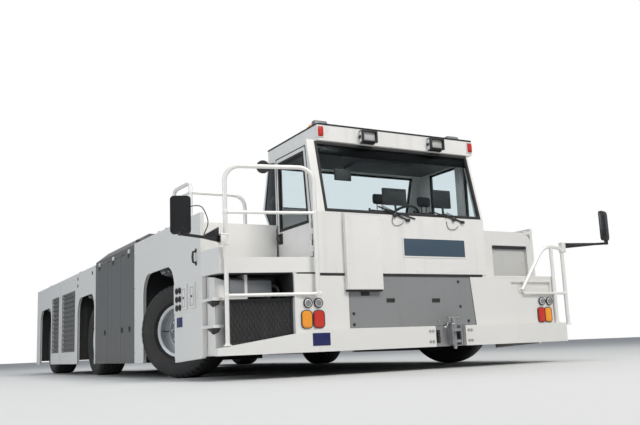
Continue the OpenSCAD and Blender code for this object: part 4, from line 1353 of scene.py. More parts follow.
@dataclass
class CabOutside:
    """Trim on the cab: roof edge, lamp frames, wipers, plate, door fittings and rear quarters."""

    roof: tuple[Point, ...] = (
        (-1.07, -4.7, 2.618), (1.018, -4.7, 2.618), (1.03, -3.73, 2.538), (-1.188, -3.73, 2.538),
    )
    plate: tuple[float, ...] = (-0.161, 0.674, 1.2, 1.396)
    rear_quarter: tuple[Point, ...] = (
        (-3.905, 2.35), (-3.905, 1.53), (-3.85, 1.53), (-3.635, 1.857), (-3.78, 2.35),
    )
    wipers: tuple[tuple[Point, Point], ...] = (
        ((-0.461, 1.723), (-0.071, 1.585)), ((0.384, 1.69), (0.679, 1.594)),
    )
    hoses: tuple[tuple[Point, ...], ...] = (
        ((-0.285, 1.612), (-0.292, 1.575), (-0.284, 1.545), (-0.256, 1.527), (-0.215, 1.528),
         (-0.172, 1.545), (-0.141, 1.575)),
        ((0.44, 1.6), (0.442, 1.56), (0.456, 1.526), (0.49, 1.509), (0.535, 1.511),
         (0.575, 1.526), (0.601, 1.552)),
    )
    hose_y: float = -4.8665
    nozzle_y: float = -4.8645

    def roof_trim(self) -> None:
        """Makes the dark strip round the roof's top edge, and what is fixed on the roof."""
        strip = Solid()
        corners = [Vector(p) for p in self.roof]
        loop = []
        for a, b in zip(corners, corners[1:] + corners[:1]):
            loop += [a.lerp(b, 0.004), a.lerp(b, 0.5), a.lerp(b, 0.996)]
        strip.tube(loop + loop[:1], 0.0095, 8)
        strip.piece("roof_strip", Finish.SEAL)
        trim = Solid()
        for x in BEACONS_X:
            trim.lathe([(-0.012, 0.0655), (0.018, 0.0655), (0.024, 0.0655), (0.024, 0.0525),
                        (0.0265, 0.0525), (0.0265, 0.062), (0.022, 0.0715), (-0.006, 0.0745),
                        (-0.012, 0.074)], (x, *BEACON_YZ), steps=40)
        trim.piece("beacon_rings", Finish.BLACK)
        slope = Matrix.Rotation(math.atan2(-0.08, 0.97), 4, "X")
        hatch = Solid(Matrix.Translation((0, -4.2, 2.5788)) @ slope)
        hatch.box((-0.32, -0.24, -0.004), (0.32, 0.24, 0.02), 0.01)
        hatch.box((-0.36, -0.28, -0.004), (0.36, 0.28, 0.008), 0.004)
        for x in (-0.9, -0.6, 0.6, 0.85):
            hatch.bolts([(x, -0.43), (x, 0.42)], 0.022, 0.008)
        hatch.piece("roof_hatch", Finish.SHELL)

    def lamps(self) -> None:
        """Makes the frames of the work lamps and markers on the roof's front."""
        dark = Solid(plane((0, -4.76, 0), FRONT_FACE))
        for x0, x1 in WORK_LAMPS_X:
            dark.ring(rect(x0, 2.458, x1, 2.575), 0.01, 0.006, -0.006, 0.03)
            dark.box((x0 - 0.004, 2.575, -0.058), (x1 + 0.004, 2.583, 0.004))
            dark.box((x0 - 0.01, 2.5, -0.058), (x0, 2.53, -0.02))
            dark.box((x1, 2.5, -0.058), (x1 + 0.01, 2.53, -0.02))
            for k in range(7):
                x = x0 + (x1 - x0) * (k + 0.5) / 7
                dark.box((x - 0.003, 2.44, -0.055), (x + 0.003, 2.4585, -0.01), 0.001)
        dark.piece("work_lamp_frames", Finish.BLACK)
        pale = Solid(plane((0, -4.7, 0), FRONT_FACE))
        for x in MARKERS_X:
            pale.ring(rect(x - 0.04, 2.468, x + 0.04, 2.597), 0.008, 0.0, -0.001, 0.01)
        pale.piece("marker_frames", Finish.SHELL)

    def wiper_gear(self) -> None:
        """Makes blades, arms, spindle caps and the washer hoses."""
        gear = Solid()
        for (x0, z0), (x1, z1) in self.wipers:
            start, end = Vector((x0, -4.872, z0)), Vector((x1, -4.868, z1))
            run = (end - start).normalized()
            gear.tube([start.lerp(end, t) for t in (0.0, 0.3, 0.7, 1.0)], 0.009, 6)
            for shift in (0.0, 0.012):
                a, b = start + run * 0.05, start.lerp(end, 0.62)
                off = Vector((0.0, -0.01, 0.012 + shift))
                gear.tube([a + off, b + off], 0.0035, 6)
            pivot = start.lerp(end, 0.52)
            gear.lathe([(0, 0), (0, 0.026), (0.012, 0.024), (0.02, 0.012), (0.022, 0)],
                       (pivot.x, -4.872, pivot.z - 0.014), (0, -1, 0), 20)
            gear.box((x1 - 0.045, -4.884, z1 - 0.012), (x1 + 0.004, -4.866, z1 + 0.02), 0.004)
        gear.piece("wiper_gear", Finish.BLACK)
        for i, points in enumerate(self.hoses):
            last = len(points) - 1
            route = [(x, self.hose_y if 0 < k < last else self.nozzle_y, z)
                     for k, (x, z) in enumerate(points)]
            path = smooth_path(route, 4)
            hose = Solid()
            hose.tube(path, 0.003, 8)
            made = hose.piece(f"washer_hose_{i}", Finish.HOSE)
            long = sum((b - a).length for a, b in zip(path, path[1:]))

    def front_trim(self) -> None:
        """Makes the blank slate plate with its pale border, the seam under the cab, which is partly
        painted shadow, and screws.
        """
        x0, x1, z0, z1 = self.plate
        plate = Solid(CAB_FRONT)
        plate.box((x0, z0, -0.001), (x1, z1, 0.004), 0.0015)
        plate.piece("front_plate", Finish.PLATE_SLATE)
        rim = Solid(CAB_FRONT)
        rim.ring(rect(x0, z0, x1, z1), 0.004, 0.012, -0.001, 0.0055, 0.001)
        rim.piece("front_plate_rim", Finish.SHELL)
        # Black strips along the gap between the cab and the front body: partly a dark joint, partly
        # painted shadow in the gap.
        seam = Solid(CAB_FRONT)
        for a, b in ((-1.196, -0.912), (-0.478, 0.9)):
            seam.box((a, 0.984, -0.05), (b, 1.012, 0.003))
        seam.box((-0.905, 0.822, -0.005), (-0.485, 0.841, 0.045), 0.003)
        seam.piece("cab_seam", Finish.SEAL)
        screws = Solid(plane((0, -4.915, 0), FRONT_FACE))
        screws.bolt_grid((-0.885, -0.505), (0.88, 1.12, 1.36, 1.58), 0.014, 0.005)
        screws.piece("cover_screws", Finish.SHELL)
        frame_bolts = Solid(CAB_FRONT)
        frame_bolts.bolts([(x, 1.04) for x in (-1.15, -1.0, -0.42, 0.0, 0.45, 0.9)], 0.014, 0.005)
        frame_bolts.piece("cab_screws", Finish.SHELL)

    def door_trim(self) -> None:
        """Makes the door's handle, kick panel, hinge bolts and the seal in its gap."""
        face = CAB_RIGHT
        grip = Solid(face)
        grip.box((3.975, 1.41, -0.001), (4.065, 1.53, 0.006), 0.003)
        grip.tube([(4.02, 1.425, 0.004), (4.02, 1.432, 0.036), (4.02, 1.47, 0.042),
                   (4.02, 1.508, 0.036), (4.02, 1.515, 0.004)], 0.009, 10)
        grip.knob([(0, 0.012), (0.006, 0.011)], (4.045, 1.435, 0.004), steps=16)
        grip.piece("door_handle", Finish.BLACK, "cab_door")
        crease = Solid(face)
        crease.prism([(4.0, 1.235), (4.7, 1.235), (4.7, 1.5), (4.66, 1.506), (4.0, 1.35)], 2,
                     -0.001, 0.006, 0.004)
        crease.bolts([(4.04, 1.27), (4.35, 1.27), (4.66, 1.27), (4.66, 1.46)], 0.012, 0.01)
        crease.piece("door_kick_panel", Finish.SHELL, "cab_door")
        gap = Solid(face)
        outline = [(4.742, 1.196), (4.742, 1.55), (4.647, 2.374), (3.956, 2.374), (3.956, 1.196)]
        gap.ring(outline, 0.0, 0.01, -0.012, 0.002, 0.001)
        gap.piece("door_gap_seal", Finish.SEAL)
        bolts = Solid(face)
        bolts.bolts([(y, z) for y in (4.7, 4.655) for z in (1.318, 1.342, 1.498, 1.522)],
                    0.012, 0.006)
        bolts.piece("door_hinge_bolts", Finish.BOLT, "cab_door")

    def rear_quarters(self) -> None:
        """Makes the dark panes at the cab's rear corners, with their seals."""
        for side, at in ((Side.RIGHT, CAB_RIGHT), (Side.LEFT, CAB_LEFT)):
            outline = [(side.value * y, z) for y, z in self.rear_quarter]
            pane = Solid(at)
            pane.prism(outline, 2, -0.001, 0.003, 0.001)
            pane.piece(f"rear_quarter_{side.word}", Finish.SCREEN)
            edge = Solid(at)
            edge.ring(outline, 0.012, 0.008, -0.001, 0.006)
            edge.piece(f"rear_quarter_seal_{side.word}", Finish.SEAL)

    def round_mirror(self) -> None:
        """Makes the small round mirror beside the cab's right wall."""
        ball = Solid(Matrix.Translation((-1.375, -3.97, 2.285)))
        ball.knob([(-0.022, 0.05), (-0.01, 0.072), (0.012, 0.074), (0.02, 0.066)],
                  axis=(-0.25, -0.95, -0.15), steps=32)
        ball.tube([(0, 0.01, 0), (0.05, 0.05, 0.03), (0.12, 0.08, 0.06), (0.18, 0.09, 0.07)],
                  0.009, 8)
        ball.piece("side_mirror", Finish.BLACK)

    def build(self) -> None:
        """Makes all of the cab's trim."""
        self.roof_trim()
        self.lamps()
        self.wiper_gear()
        self.front_trim()
        self.door_trim()
        self.rear_quarters()
        self.round_mirror()


@dataclass
class HoopRight:
    """Front guard hoop with smooth bends, weld collars and clamp."""

    at: Point = (-2.14, -4.712)
    heading: float = -12.7
    long: float = 0.907
    top: float = 2.071
    middle: float = 1.607
    low: float = 0.8
    foot: float = 0.327
    bend: float = 0.15
    tube_r: float = 0.022
    thin_r: float = 0.016

    def place(self, along: float, z: float, out: float = 0.0) -> Vector:
        """A point of the hoop's plane.

        Args:
            along: Distance from the outer leg.
            z: Height.
            out: Distance in front of the plane.

        Returns:
            The point.
        """
        a = math.radians(self.heading)
        return Vector((self.at[0] + along * math.cos(a) + out * math.sin(a),
                       self.at[1] + along * math.sin(a) - out * math.cos(a), z))

    def corner(self, x: float, z: float, turn: int) -> list[Vector]:
        """Points of one bend of the hoop, from its upright to its top bar or back.

        Args:
            x: The upright's distance along the hoop.
            z: Height of the top bar.
            turn: 1 at the outer leg, -1 at the inner one.

        Returns:
            The points.
        """
        steps = [math.radians(90 * k / 8) for k in range(9)]
        points = [self.place(x + turn * self.bend * (1 - math.cos(t)),
                             z - self.bend * (1 - math.sin(t))) for t in steps]
        return points if turn > 0 else points[::-1]

    def build(self) -> None:
        """Makes the hoop, which stands for the CAD one."""
        hoop = Solid()
        path = [self.place(0, self.foot), self.place(0, 1.2)] + self.corner(0, self.top, 1)
        path += self.corner(self.long, self.top, -1)
        path += [self.place(self.long, 1.2), self.place(self.long, self.low)]
        hoop.tube(path, self.tube_r, 20)
        hoop.tube([self.place(0, self.middle), self.place(self.long, self.middle)], self.thin_r, 16)
        hoop.tube([self.place(0, self.low), self.place(self.long + 0.03, self.low)],
                  self.thin_r + 0.002, 16)
        for along in (0.0, self.long):
            for z in (self.middle, self.low):
                hoop.knob([(-0.021, self.tube_r + 0.0005), (-0.015, self.tube_r + 0.0025),
                           (0.015, self.tube_r + 0.0025), (0.021, self.tube_r + 0.0005)],
                          tuple(self.place(along, z)), steps=20)
        hoop.knob([(0, 0.042), (0.012, 0.04), (0.014, 0.026), (0.03, 0.023)],
                  tuple(self.place(0, self.foot - 0.003)), steps=24)
        for z in (1.3, 1.385):
            hoop.box((-2.202, -4.74, z - 0.01), (-2.112, -4.684, z + 0.01), 0.003)
        hoop.box((-2.202, -4.74, 1.3), (-2.14, -4.684, 1.385), 0.004)
        made = hoop.piece("hoop", Finish.WHITE)
        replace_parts(made, "hoop_right")


@dataclass
class Front:
    """Hatch fittings, plates, coupling gear, grille and steps."""

    slots: tuple[Point, ...] = ((-0.673, 0.803), (-0.362, 0.732), (0.229, 0.728))
    sweep: float = 0.2 / 0.885
    grille_long: float = 0.661
    grille_z: tuple[float, float] = (0.335, 0.765)
    pitch: float = 0.044
    latches: tuple[Point, ...] = ((-0.82, 0.6), (0.55, 0.93), (0.56, 0.66),
                                  (-0.82, 0.49), (0.66, 0.5))

    def hatch(self) -> None:
        """Makes the grey hatch's pull slots, its latches and the gap round it."""
        face = plane((0, -4.854, 0), FRONT_FACE)
        dark = Solid(face)
        for x, z in self.slots:
            dark.box((x - 0.046, z - 0.016, -0.001), (x + 0.046, z + 0.016, 0.0012), 0.0005)
            dark.ring(rect(x - 0.046, z - 0.016, x + 0.046, z + 0.016), 0.0, 0.005, 0.0,
                      0.005, 0.001)
        dark.piece("hatch_slots", Finish.BLACK)
        studs = Solid(face)
        for x, z in self.latches:
            studs.lathe([(0, 0), (0, 0.017), (0.004, 0.016), (0.005, 0)], (x, z, 0), steps=24)
            studs.box((x - 0.012, z - 0.002, 0.004), (x + 0.012, z + 0.002, 0.008), 0.001)
        studs.piece("hatch_latches", Finish.STEEL_DARK)
        edge = Solid(face)
        outline = [(-0.875, 0.452), (0.768, 0.452), (0.7163, 0.99), (-0.875, 0.99)]
        edge.ring(outline, 0.004, 0.003, -0.012, 0.0015, 0.0005)
        edge.piece("hatch_gap", Finish.SEAL)

    def bumper(self) -> None:
        """Makes the blank blue plate, and the beam's bolts and welds."""
        blue = Solid()
        blue.prism([(-1.342, -4.925), (-1.28, -4.939), (-1.155, -4.939), (-1.155, -4.944),
                    (-1.2806, -4.944), (-1.343, -4.93)], 2, 0.294, 0.416, 0.001)
        blue.piece("bumper_plate", Finish.PLATE_BLUE)
        bolts = Solid(BEAM_FRONT)
        bolts.bolt_grid((0.06, 0.1, 0.58, 0.62), (0.29, 0.4), 0.026, 0.014)
        bolts.piece("bumper_bolts", Finish.BOLT)
        seam = Solid(BEAM_FRONT)
        for x in (-1.279, 1.279):
            seam.box((x - 0.004, 0.237, -0.004), (x + 0.004, 0.4515, 0.0015), 0.001)
        seam.piece("bumper_welds", Finish.WHITE)

    def coupling(self) -> None:
        """Makes the pin's handle and collar, and the jaw's cheeks."""
        pin = Solid(Matrix.Translation((0.39, -4.93, 0)))
        pin.tube([(-0.075, 0, 0.535), (-0.05, 0, 0.538), (0.05, 0, 0.538), (0.075, 0, 0.535)],
                 0.011, 12)
        pin.lathe([(0.425, 0.0255), (0.425, 0.036), (0.436, 0.038), (0.45, 0.036), (0.45, 0.0255)],
                  steps=28)
        pin.knob([(0.205, 0.018), (0.24, 0.022)], steps=20)
        pin.tube([(0.024, -0.03, 0.47), (0.0, -0.034, 0.47), (-0.045, -0.02, 0.467)], 0.005, 8)
        for x in (-0.058, 0.058):
            pin.box((x - 0.008, -0.052, 0.245), (x + 0.008, 0.045, 0.452), 0.004)
            pin.bolt((x, -0.052, 0.34), (0, -1, 0), 0.022, 0.01)
        pin.piece("tow_pin_gear", Finish.STEEL)

    def chain(self) -> None:
        """Makes the chain that holds the pin, each link a quarter turn from the last."""
        chain = Solid()
        route = smooth_path((
            (0.325, -4.952, 0.536), (0.292, -4.954, 0.47), (0.245, -4.953, 0.432),
            (0.2, -4.951, 0.455), (0.17, -4.951, 0.5)), 5)
        wide, bite, tip = 0.0055, 0.003, 0.007
        for k, (a, b) in enumerate(zip(route[::2], route[2::2])):
            run = (b - a).normalized()
            side = run.cross(Vector((0, 1, 0))).normalized() * wide
            if k % 2:
                side = run.cross(side).normalized() * wide
            near, far = a - run * bite, b + run * bite
            link = [near + side, far + side, b + run * tip, far - side, near - side,
                    a - run * tip, near + side, far + side]
            chain.tube(link, 0.0022, 6)
        chain.knob([(0, 0.012), (0.01, 0.011)], (0.17, -4.942, 0.505), (0, -1, 0), 16)
        chain.piece("tow_pin_chain", Finish.STEEL)

    def sockets(self) -> None:
        """Makes the block of sockets beside the jaw."""
        block = Solid(plane((0, -4.88, 0), FRONT_FACE))
        block.box((0.155, 0.27, -0.002), (0.215, 0.41, 0.03), 0.004)
        for z in (0.305, 0.345, 0.385):
            block.knob([(0, 0.014), (0.022, 0.013), (0.024, 0.008)], (0.185, z, 0.028), steps=18)
        block.piece("tow_sockets", Finish.SATIN_BLACK)

    def strand(self, start: float, lean: int, share: float) -> Point:
        """A point of one strand of the mesh, before the frame cuts it.

        Args:
            start: Where the strand's row starts along the grille.
            lean: 1 where it leans to the right, -1 to the left.
            share: Share of the grille's height.

        Returns:
            The point, along the grille and up.
        """
        low, high = self.grille_z
        z = low + share * (high - low)
        return start + lean * (z - low) * 0.55 + (0 if lean > 0 else 0.24), z

    def grille(self) -> None:
        """Makes the mesh and fins before the radiator."""
        face = plane((-2.135, -4.6568, 0), (1, -self.sweep, 0))
        long, low, high = self.grille_long, self.grille_z[0], self.grille_z[1]
        mesh = Solid(face)
        for lean in (1, -1):
            for k in range(-12, math.ceil((long + high - low) / self.pitch)):
                start = k * self.pitch
                ends = [self.strand(start, lean, t) for t in (0.0, 1.0)]
                (xa, za), (xb, zb) = ends
                kept = (min(max(x, 0.0), long) for x, _ in ends)
                cut = [(x, za + (x - xa) * (zb - za) / (xb - xa)) for x in kept]
                inside = all(low - 1e-6 <= z <= high + 1e-6 for _, z in cut)
                if inside and abs(cut[1][0] - cut[0][0]) > 0.01:
                    mesh.tube([(x, z, 0.006 + 0.002 * lean) for x, z in cut], 0.0035, 5)
        mesh.ring(rect(0, low, long, high), 0.018, 0.0, 0.0, 0.014)
        mesh.piece("grille_mesh", Finish.SATIN_BLACK)
        core = Solid(face)
        for k in range(26):
            x = 0.02 + k * (long - 0.04) / 25
            core.box((x - 0.004, low + 0.01, 0.0), (x + 0.004, high - 0.01, 0.004), 0)
        core.piece("radiator_fins", Finish.STEEL_DARK)

    def niche(self) -> None:
        """Makes the lining of the niche above the grille, and the cooler and pipes in it."""
        lining = Solid()
        lining.box((-1.895, -4.47, 0.766), (-1.4925, -4.455, 1.018))
        lining.box((-1.5005, -4.84, 0.766), (-1.4915, -4.47, 1.018))
        lining.prism([(-2.12, -4.655), (-1.4925, -4.79), (-1.4925, -4.4), (-2.12, -4.4)], 2,
                     1.008, 1.0195)
        lining.box((-2.205, -4.4, 0.765), (-1.9, -4.388, 1.018))
        lining.piece("niche_lining", Finish.SATIN_BLACK)
        box = Solid()
        box.box((-2.06, -4.62, 0.79), (-1.62, -4.44, 0.955), 0.008)
        box.prism([(-4.62, 0.954), (-4.45, 0.954), (-4.45, 0.99), (-4.55, 0.99)], 0, -2.05,
                  -1.63, 0.004)
        for x in (-2.03, -1.65):
            box.box((x - 0.012, -4.6, 0.765), (x + 0.012, -4.46, 0.795))
        box.piece("cooler_box", Finish.LAMP_GREY)
        hose = Solid()
        for radius, route in (
            (0.017, ((-1.63, -4.58, 0.9), (-1.58, -4.6, 0.9), (-1.55, -4.62, 0.86),
                     (-1.545, -4.62, 0.765))),
            (0.014, ((-1.63, -4.53, 0.86), (-1.57, -4.53, 0.86), (-1.53, -4.54, 0.82),
                     (-1.53, -4.54, 0.765))),
        ):
            hose.tube(smooth_path(route, 5), radius, 12)
        hose.piece("cooler_pipes", Finish.BLACK)

    def steps(self) -> None:
        """Makes the risers behind the two treads, the black grip strips on them, and the black
        wedges under them, which are painted shadow.
        """
        walls = Solid()
        walls.prism([(-2.2, 0.24), (-2.09, 0.24), (-2.09, 0.955), (-2.2, 0.985)], 1, -4.565, -4.555)
        walls.prism([(-4.565, 0.24), (-4.365, 0.24), (-4.365, 1.01), (-4.565, 0.985)], 0,
                    -2.205, -2.195)
        walls.piece("step_risers", Finish.WHITE)
        pads = Solid()
        for z in (0.5, 0.76):
            for k in range(6):
                x = -2.185 + k * 0.044
                pads.box((x, -4.595, z - 0.002), (x + 0.027, -4.572, z + 0.004), 0.001)
            # Black wedges hanging under each tread's front and outer edge: painted shadow of the
            # tread, not a cut in the riser.
            pads.prism([(-2.238, z - 0.062), (-2.185, z - 0.04), (-2.165, z + 0.003),
                        (-2.238, z + 0.006)], 1, -4.612, -4.596)
            pads.prism([(-4.606, z - 0.062), (-4.54, z - 0.034), (-4.43, z + 0.004),
                        (-4.606, z + 0.006)], 0, -2.247, -2.229)
        pads.piece("step_notches", Finish.BLACK)

    def build(self) -> None:
        """Makes all of the front."""
        self.hatch()
        self.bumper()
        self.coupling()
        self.chain()
        self.sockets()
        self.grille()
        self.niche()
        self.steps()


@dataclass
class LeftHood:
    """Painted shade strips and door in the left hood's recess, its lid, and the floor's apron and
    lip.
    """

    recess_x: tuple[float, float] = (1.45, 2.012)
    recess_z: tuple[float, float] = (1.008, 1.42)

    def build(self) -> None:
        """Makes the pieces."""
        (x0, x1), (z0, z1) = self.recess_x, self.recess_z
        face = plane((0, -4.395, 0), FRONT_FACE)
        # Dark strips along the recess's top and left edge: painted shade inside the recess.
        dark = Solid(face)
        dark.box((x0 + 0.002, z1 - 0.034, -0.001), (x1 - 0.002, z1 - 0.004, 0.04), 0.003)
        dark.box((x0 + 0.001, z0 + 0.03, -0.001), (x0 + 0.008, z1 - 0.034, 0.01))
        dark.piece("hood_slot", Finish.SEAL)
        door = Solid(face)
        door.box((x0 + 0.014, z0 + 0.012, -0.001), (x1 - 0.014, z1 - 0.04, 0.012), 0.006)
        door.bolts([(x0 + 0.05, z1 - 0.08), (x0 + 0.05, z0 + 0.05)], 0.02, 0.018)
        door.lathe([(0, 0), (0, 0.02), (0.005, 0.018), (0.006, 0)],
                   (x1 - 0.05, (z0 + z1) / 2, 0.011), steps=24)
        door.piece("hood_door", Finish.HOOD_GREY)
        apron = Solid()
        apron.box((1.3, -4.772, 0.8), (2.045, -4.752, 0.942), 0.004)
        apron.prism([(1.56, 0.905), (1.72, 0.905), (1.62, 0.845), (1.56, 0.86)], 1, -4.78, -4.771)
        apron.piece("floor_apron", Finish.WHITE)
        lip = Solid()
        lip.box((0.985, -4.803, 0.985), (2.05, -4.795, 1.008))
        lip.box((0.99, -4.44, 1.0), (1.445, -4.437, 1.02), 0.001)
        lip.piece("floor_lip", Finish.WHITE)
        top = Solid(Matrix.Translation((0, 0, 1.594)))
        top.box((1.08, -4.3, -0.002), (1.72, -3.78, 0.006), 0.003)
        top.bolt_grid((1.11, 1.69), (-4.27, -4.05, -3.81), 0.016, 0.011)
        top.piece("hood_lid", Finish.WHITE)


@dataclass
class GuardRails:
    """Left guard rail and deck rail with smooth bends, their feet and collars."""

    left: tuple[Point, ...] = ((1.515, 0.842), (1.915, 1.372), (2.215, 1.352), (2.215, 0.427))
    left_y: float = -4.822
    deck_y: float = -3.44
    deck_x: tuple[float, float] = (-2.03, -1.37)
    deck_z: tuple[float, float] = (1.635, 2.06)
    tube_r: float = 0.0215
    thin_r: float = 0.0155

    @staticmethod
    def bent(points: Sequence[Point], bends: Sequence[float]) -> list[Vector]:
        """A path with its corners rounded.

        Args:
            points: Corners of the path.
            bends: How far from each inner corner its bend starts.

        Returns:
            Points along the path.
        """
        corners = [Vector(p) for p in points]
        path = [corners[0]]
        for p, q, r, bend in zip(corners, corners[1:], corners[2:], bends):
            a, c = q + (p - q).normalized() * bend, q + (r - q).normalized() * bend
            shares = (0.0, 0.17, 0.34, 0.5, 0.66, 0.83, 1.0)
            path += [a.lerp(q, t).lerp(q.lerp(c, t), t) for t in shares]
        path.append(corners[-1])
        return path

    @staticmethod
    def collar(rails: Solid, at: Point, radius: float = 0.0235) -> None:
        """Adds the weld collar where two tubes meet.

        Args:
            rails: What it is added to.
            at: Its middle.
            radius: Its radius.
        """
        rails.knob([(-0.018, radius - 0.002), (-0.013, radius), (0.013, radius),
                    (0.018, radius - 0.002)], at, steps=20)

    def build(self) -> None:
        """Makes the rails and what holds them."""
        y, rails = self.left_y, Solid()
        rails.tube(self.bent([(x, y, z) for x, z in self.left], (0.14, 0.075)), self.tube_r, 20)
        rails.tube([(2.035, y, 1.35), (2.035, y, 0.455)], self.tube_r, 18)
        rails.tube([(1.535, y, 0.803), (2.215, y, 0.803)], self.thin_r, 16)
        for x in (2.035, 2.215):
            self.collar(rails, (x, y, 0.803))
            rails.knob([(0, 0.038), (0.01, 0.036), (0.012, 0.025), (0.028, 0.0225)],
                       (x, y, 0.427 if x > 2.1 else 0.4525), steps=24)
        rails.box((2.205, -4.85, 1.3), (2.265, -4.794, 1.42), 0.005)
        for z in (1.306, 1.414):
            rails.box((2.196, -4.8495, z - 0.006), (2.2645, -4.7945, z + 0.006))
        rails.knob([(0, 0.036), (0.01, 0.034)], (1.515, -4.802, 0.846), (0, -1, 0), 24)
        (x0, x1), (z0, z1), y = self.deck_x, self.deck_z, self.deck_y
        rails.tube(self.bent([(x0, y, z1), (x1, y, z1), (x1, y, z0)], (0.16,)), self.tube_r, 20)
        rails.tube([(x0, y, z0), (x0, y, z1 + 0.021)], self.tube_r, 20)
        made = rails.piece("rails", Finish.WHITE)
        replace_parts(made, "guard_rails")
        post, back = Solid(), (x0 - 0.02, y + 0.52)
        post.tube(self.bent([(x0, y, 2.0), (x0, y, 2.175), (*back, 2.175), (*back, 1.634)],
                            (0.1, 0.1)), self.tube_r + 0.0005, 20)
        for foot in ((x0, y), back):
            self.collar(post, (*foot, z1), 0.0255)
        post.tube([(x0, y, z1), (*back, z1)], self.thin_r, 16)
        for fx, fy in ((x0, y), (x1, y), back):
            post.knob([(0, 0.048), (0.008, 0.046), (0.01, 0.028), (0.024, 0.0245)],
                      (fx, fy, z0 - 0.001), steps=24)
            for dx, dy in on_circle(4, 0.036, 0.5):
                post.bolt((fx + dx, fy + dy, z0 + 0.007), UP, 0.012, 0.006)
        post.piece("deck_rail_return", Finish.WHITE)


@dataclass
class Mirrors:
    """Both long-arm mirrors: moulded heads, arms with their brackets, and the glass."""

    right: tuple[float, float, float, float] = (-2.6695, -4.94, 1.34, 1.695)
    left: tuple[float, float, float, float] = (2.6695, -5.119, 1.42, 1.785)
    right_foot: Point = (-2.202, -4.712, 1.34)
    left_foot: Point = (2.265, -4.822, 1.384)
    turn: float = 20.0

    def head(self, gear: Solid, at: Matrix, low: float, high: float) -> None:
        """Adds a housing with a crowned back and rounded corners.

        Args:
            gear: What it is added to.
            at: Axes of the head: X across it, Z up and -Y out of its back.
            low: Its underside.
            high: Its top.
        """
        mid, half = (low + high) / 2, (high - low) / 2
        layers = ((0.0, -0.006, 0.029), (0.008, -0.015, 0.02), (0.022, -0.022, 0.01),
                  (0.04, -0.0275, 0.0))
        for inset, front, back in layers:
            outline = rounded(0, mid, 0.094 - inset, half - inset, 0.036 - inset * 0.4)
            gear.prism(outline, 1, front, back, 0.004, at)

    def one(self, gear: Solid, glass: Solid, side: Side) -> None:
        """Adds one mirror.

        Args:
            gear: The arms and heads.
            glass: The glass of both.
            side: Which side of the tractor.
        """
        s = side.value
        x, y, low, high = self.right if s < 0 else self.left
        foot = Vector(self.right_foot if s < 0 else self.left_foot)
        at = Matrix.Translation((x, y, 0)) @ Matrix.Rotation(math.radians(self.turn * s), 4, "Z")
        self.head(gear, at, low, high)
        split = low + (high - low) * 0.34
        glass.box((-0.08, 0.0268, split + 0.006), (0.08, 0.0293, high - 0.018), 0.002, at)
        glass.box((-0.08, 0.0268, low + 0.018), (0.08, 0.0293, split - 0.006), 0.002, at)
        start, end = foot + Vector((s * 0.012, 0, 0)), Vector((x, y, foot.z))
        gear.box((min(foot.x, foot.x + s * 0.0155), foot.y - 0.028, foot.z - 0.032),
                 (max(foot.x, foot.x + s * 0.0155), foot.y + 0.028, foot.z + 0.032), 0.003)
        gear.tube([start, start.lerp(end, 0.5), end, end + Vector((0, 0, 0.05))], 0.015, 14)
        gear.knob([(0, 0.023), (0.05, 0.023)], (x, y, foot.z - 0.014), steps=20)
        heading = Matrix.Translation(start) @ Matrix.Rotation(
            math.atan2(end.y - start.y, end.x - start.x), 4, "Z")
        if s < 0:
            web = [(0.002, 0.118), (0.002, -0.03), (0.22, -0.013), (0.22, 0.013)]
        else:
            web = [(0.002, 0.032), (0.002, -0.031), (0.36, -0.014), (0.36, 0.014)]
        gear.prism(web, 1, -0.011, 0.011, 0.004, heading)
        for z in (-0.02, 0.02):
            gear.bolt((foot.x + s * 0.008, foot.y - 0.0285, foot.z + z), (0, -1, 0), 0.016, 0.008)

    def build(self) -> None:
        """Makes the mirrors and the cable of the heated right one."""
        gear, glass = Solid(), Solid()
        for side in Side:
            self.one(gear, glass, side)
        cable = ((-2.4, -4.8, 1.352), (-2.375, -4.79, 1.4), (-2.345, -4.775, 1.46),
                 (-2.345, -4.775, 1.52), (-2.39, -4.8, 1.6), (-2.44, -4.83, 1.63),
                 (-2.52, -4.87, 1.62), (-2.575, -4.9, 1.6))
        gear.tube(smooth_path(cable, 4), 0.005, 8)
        made = gear.piece("mirror_gear", Finish.MIRROR_BACK)
        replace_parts(made, "mirrors")
        glass.piece("mirror_panes", Finish.MIRROR)


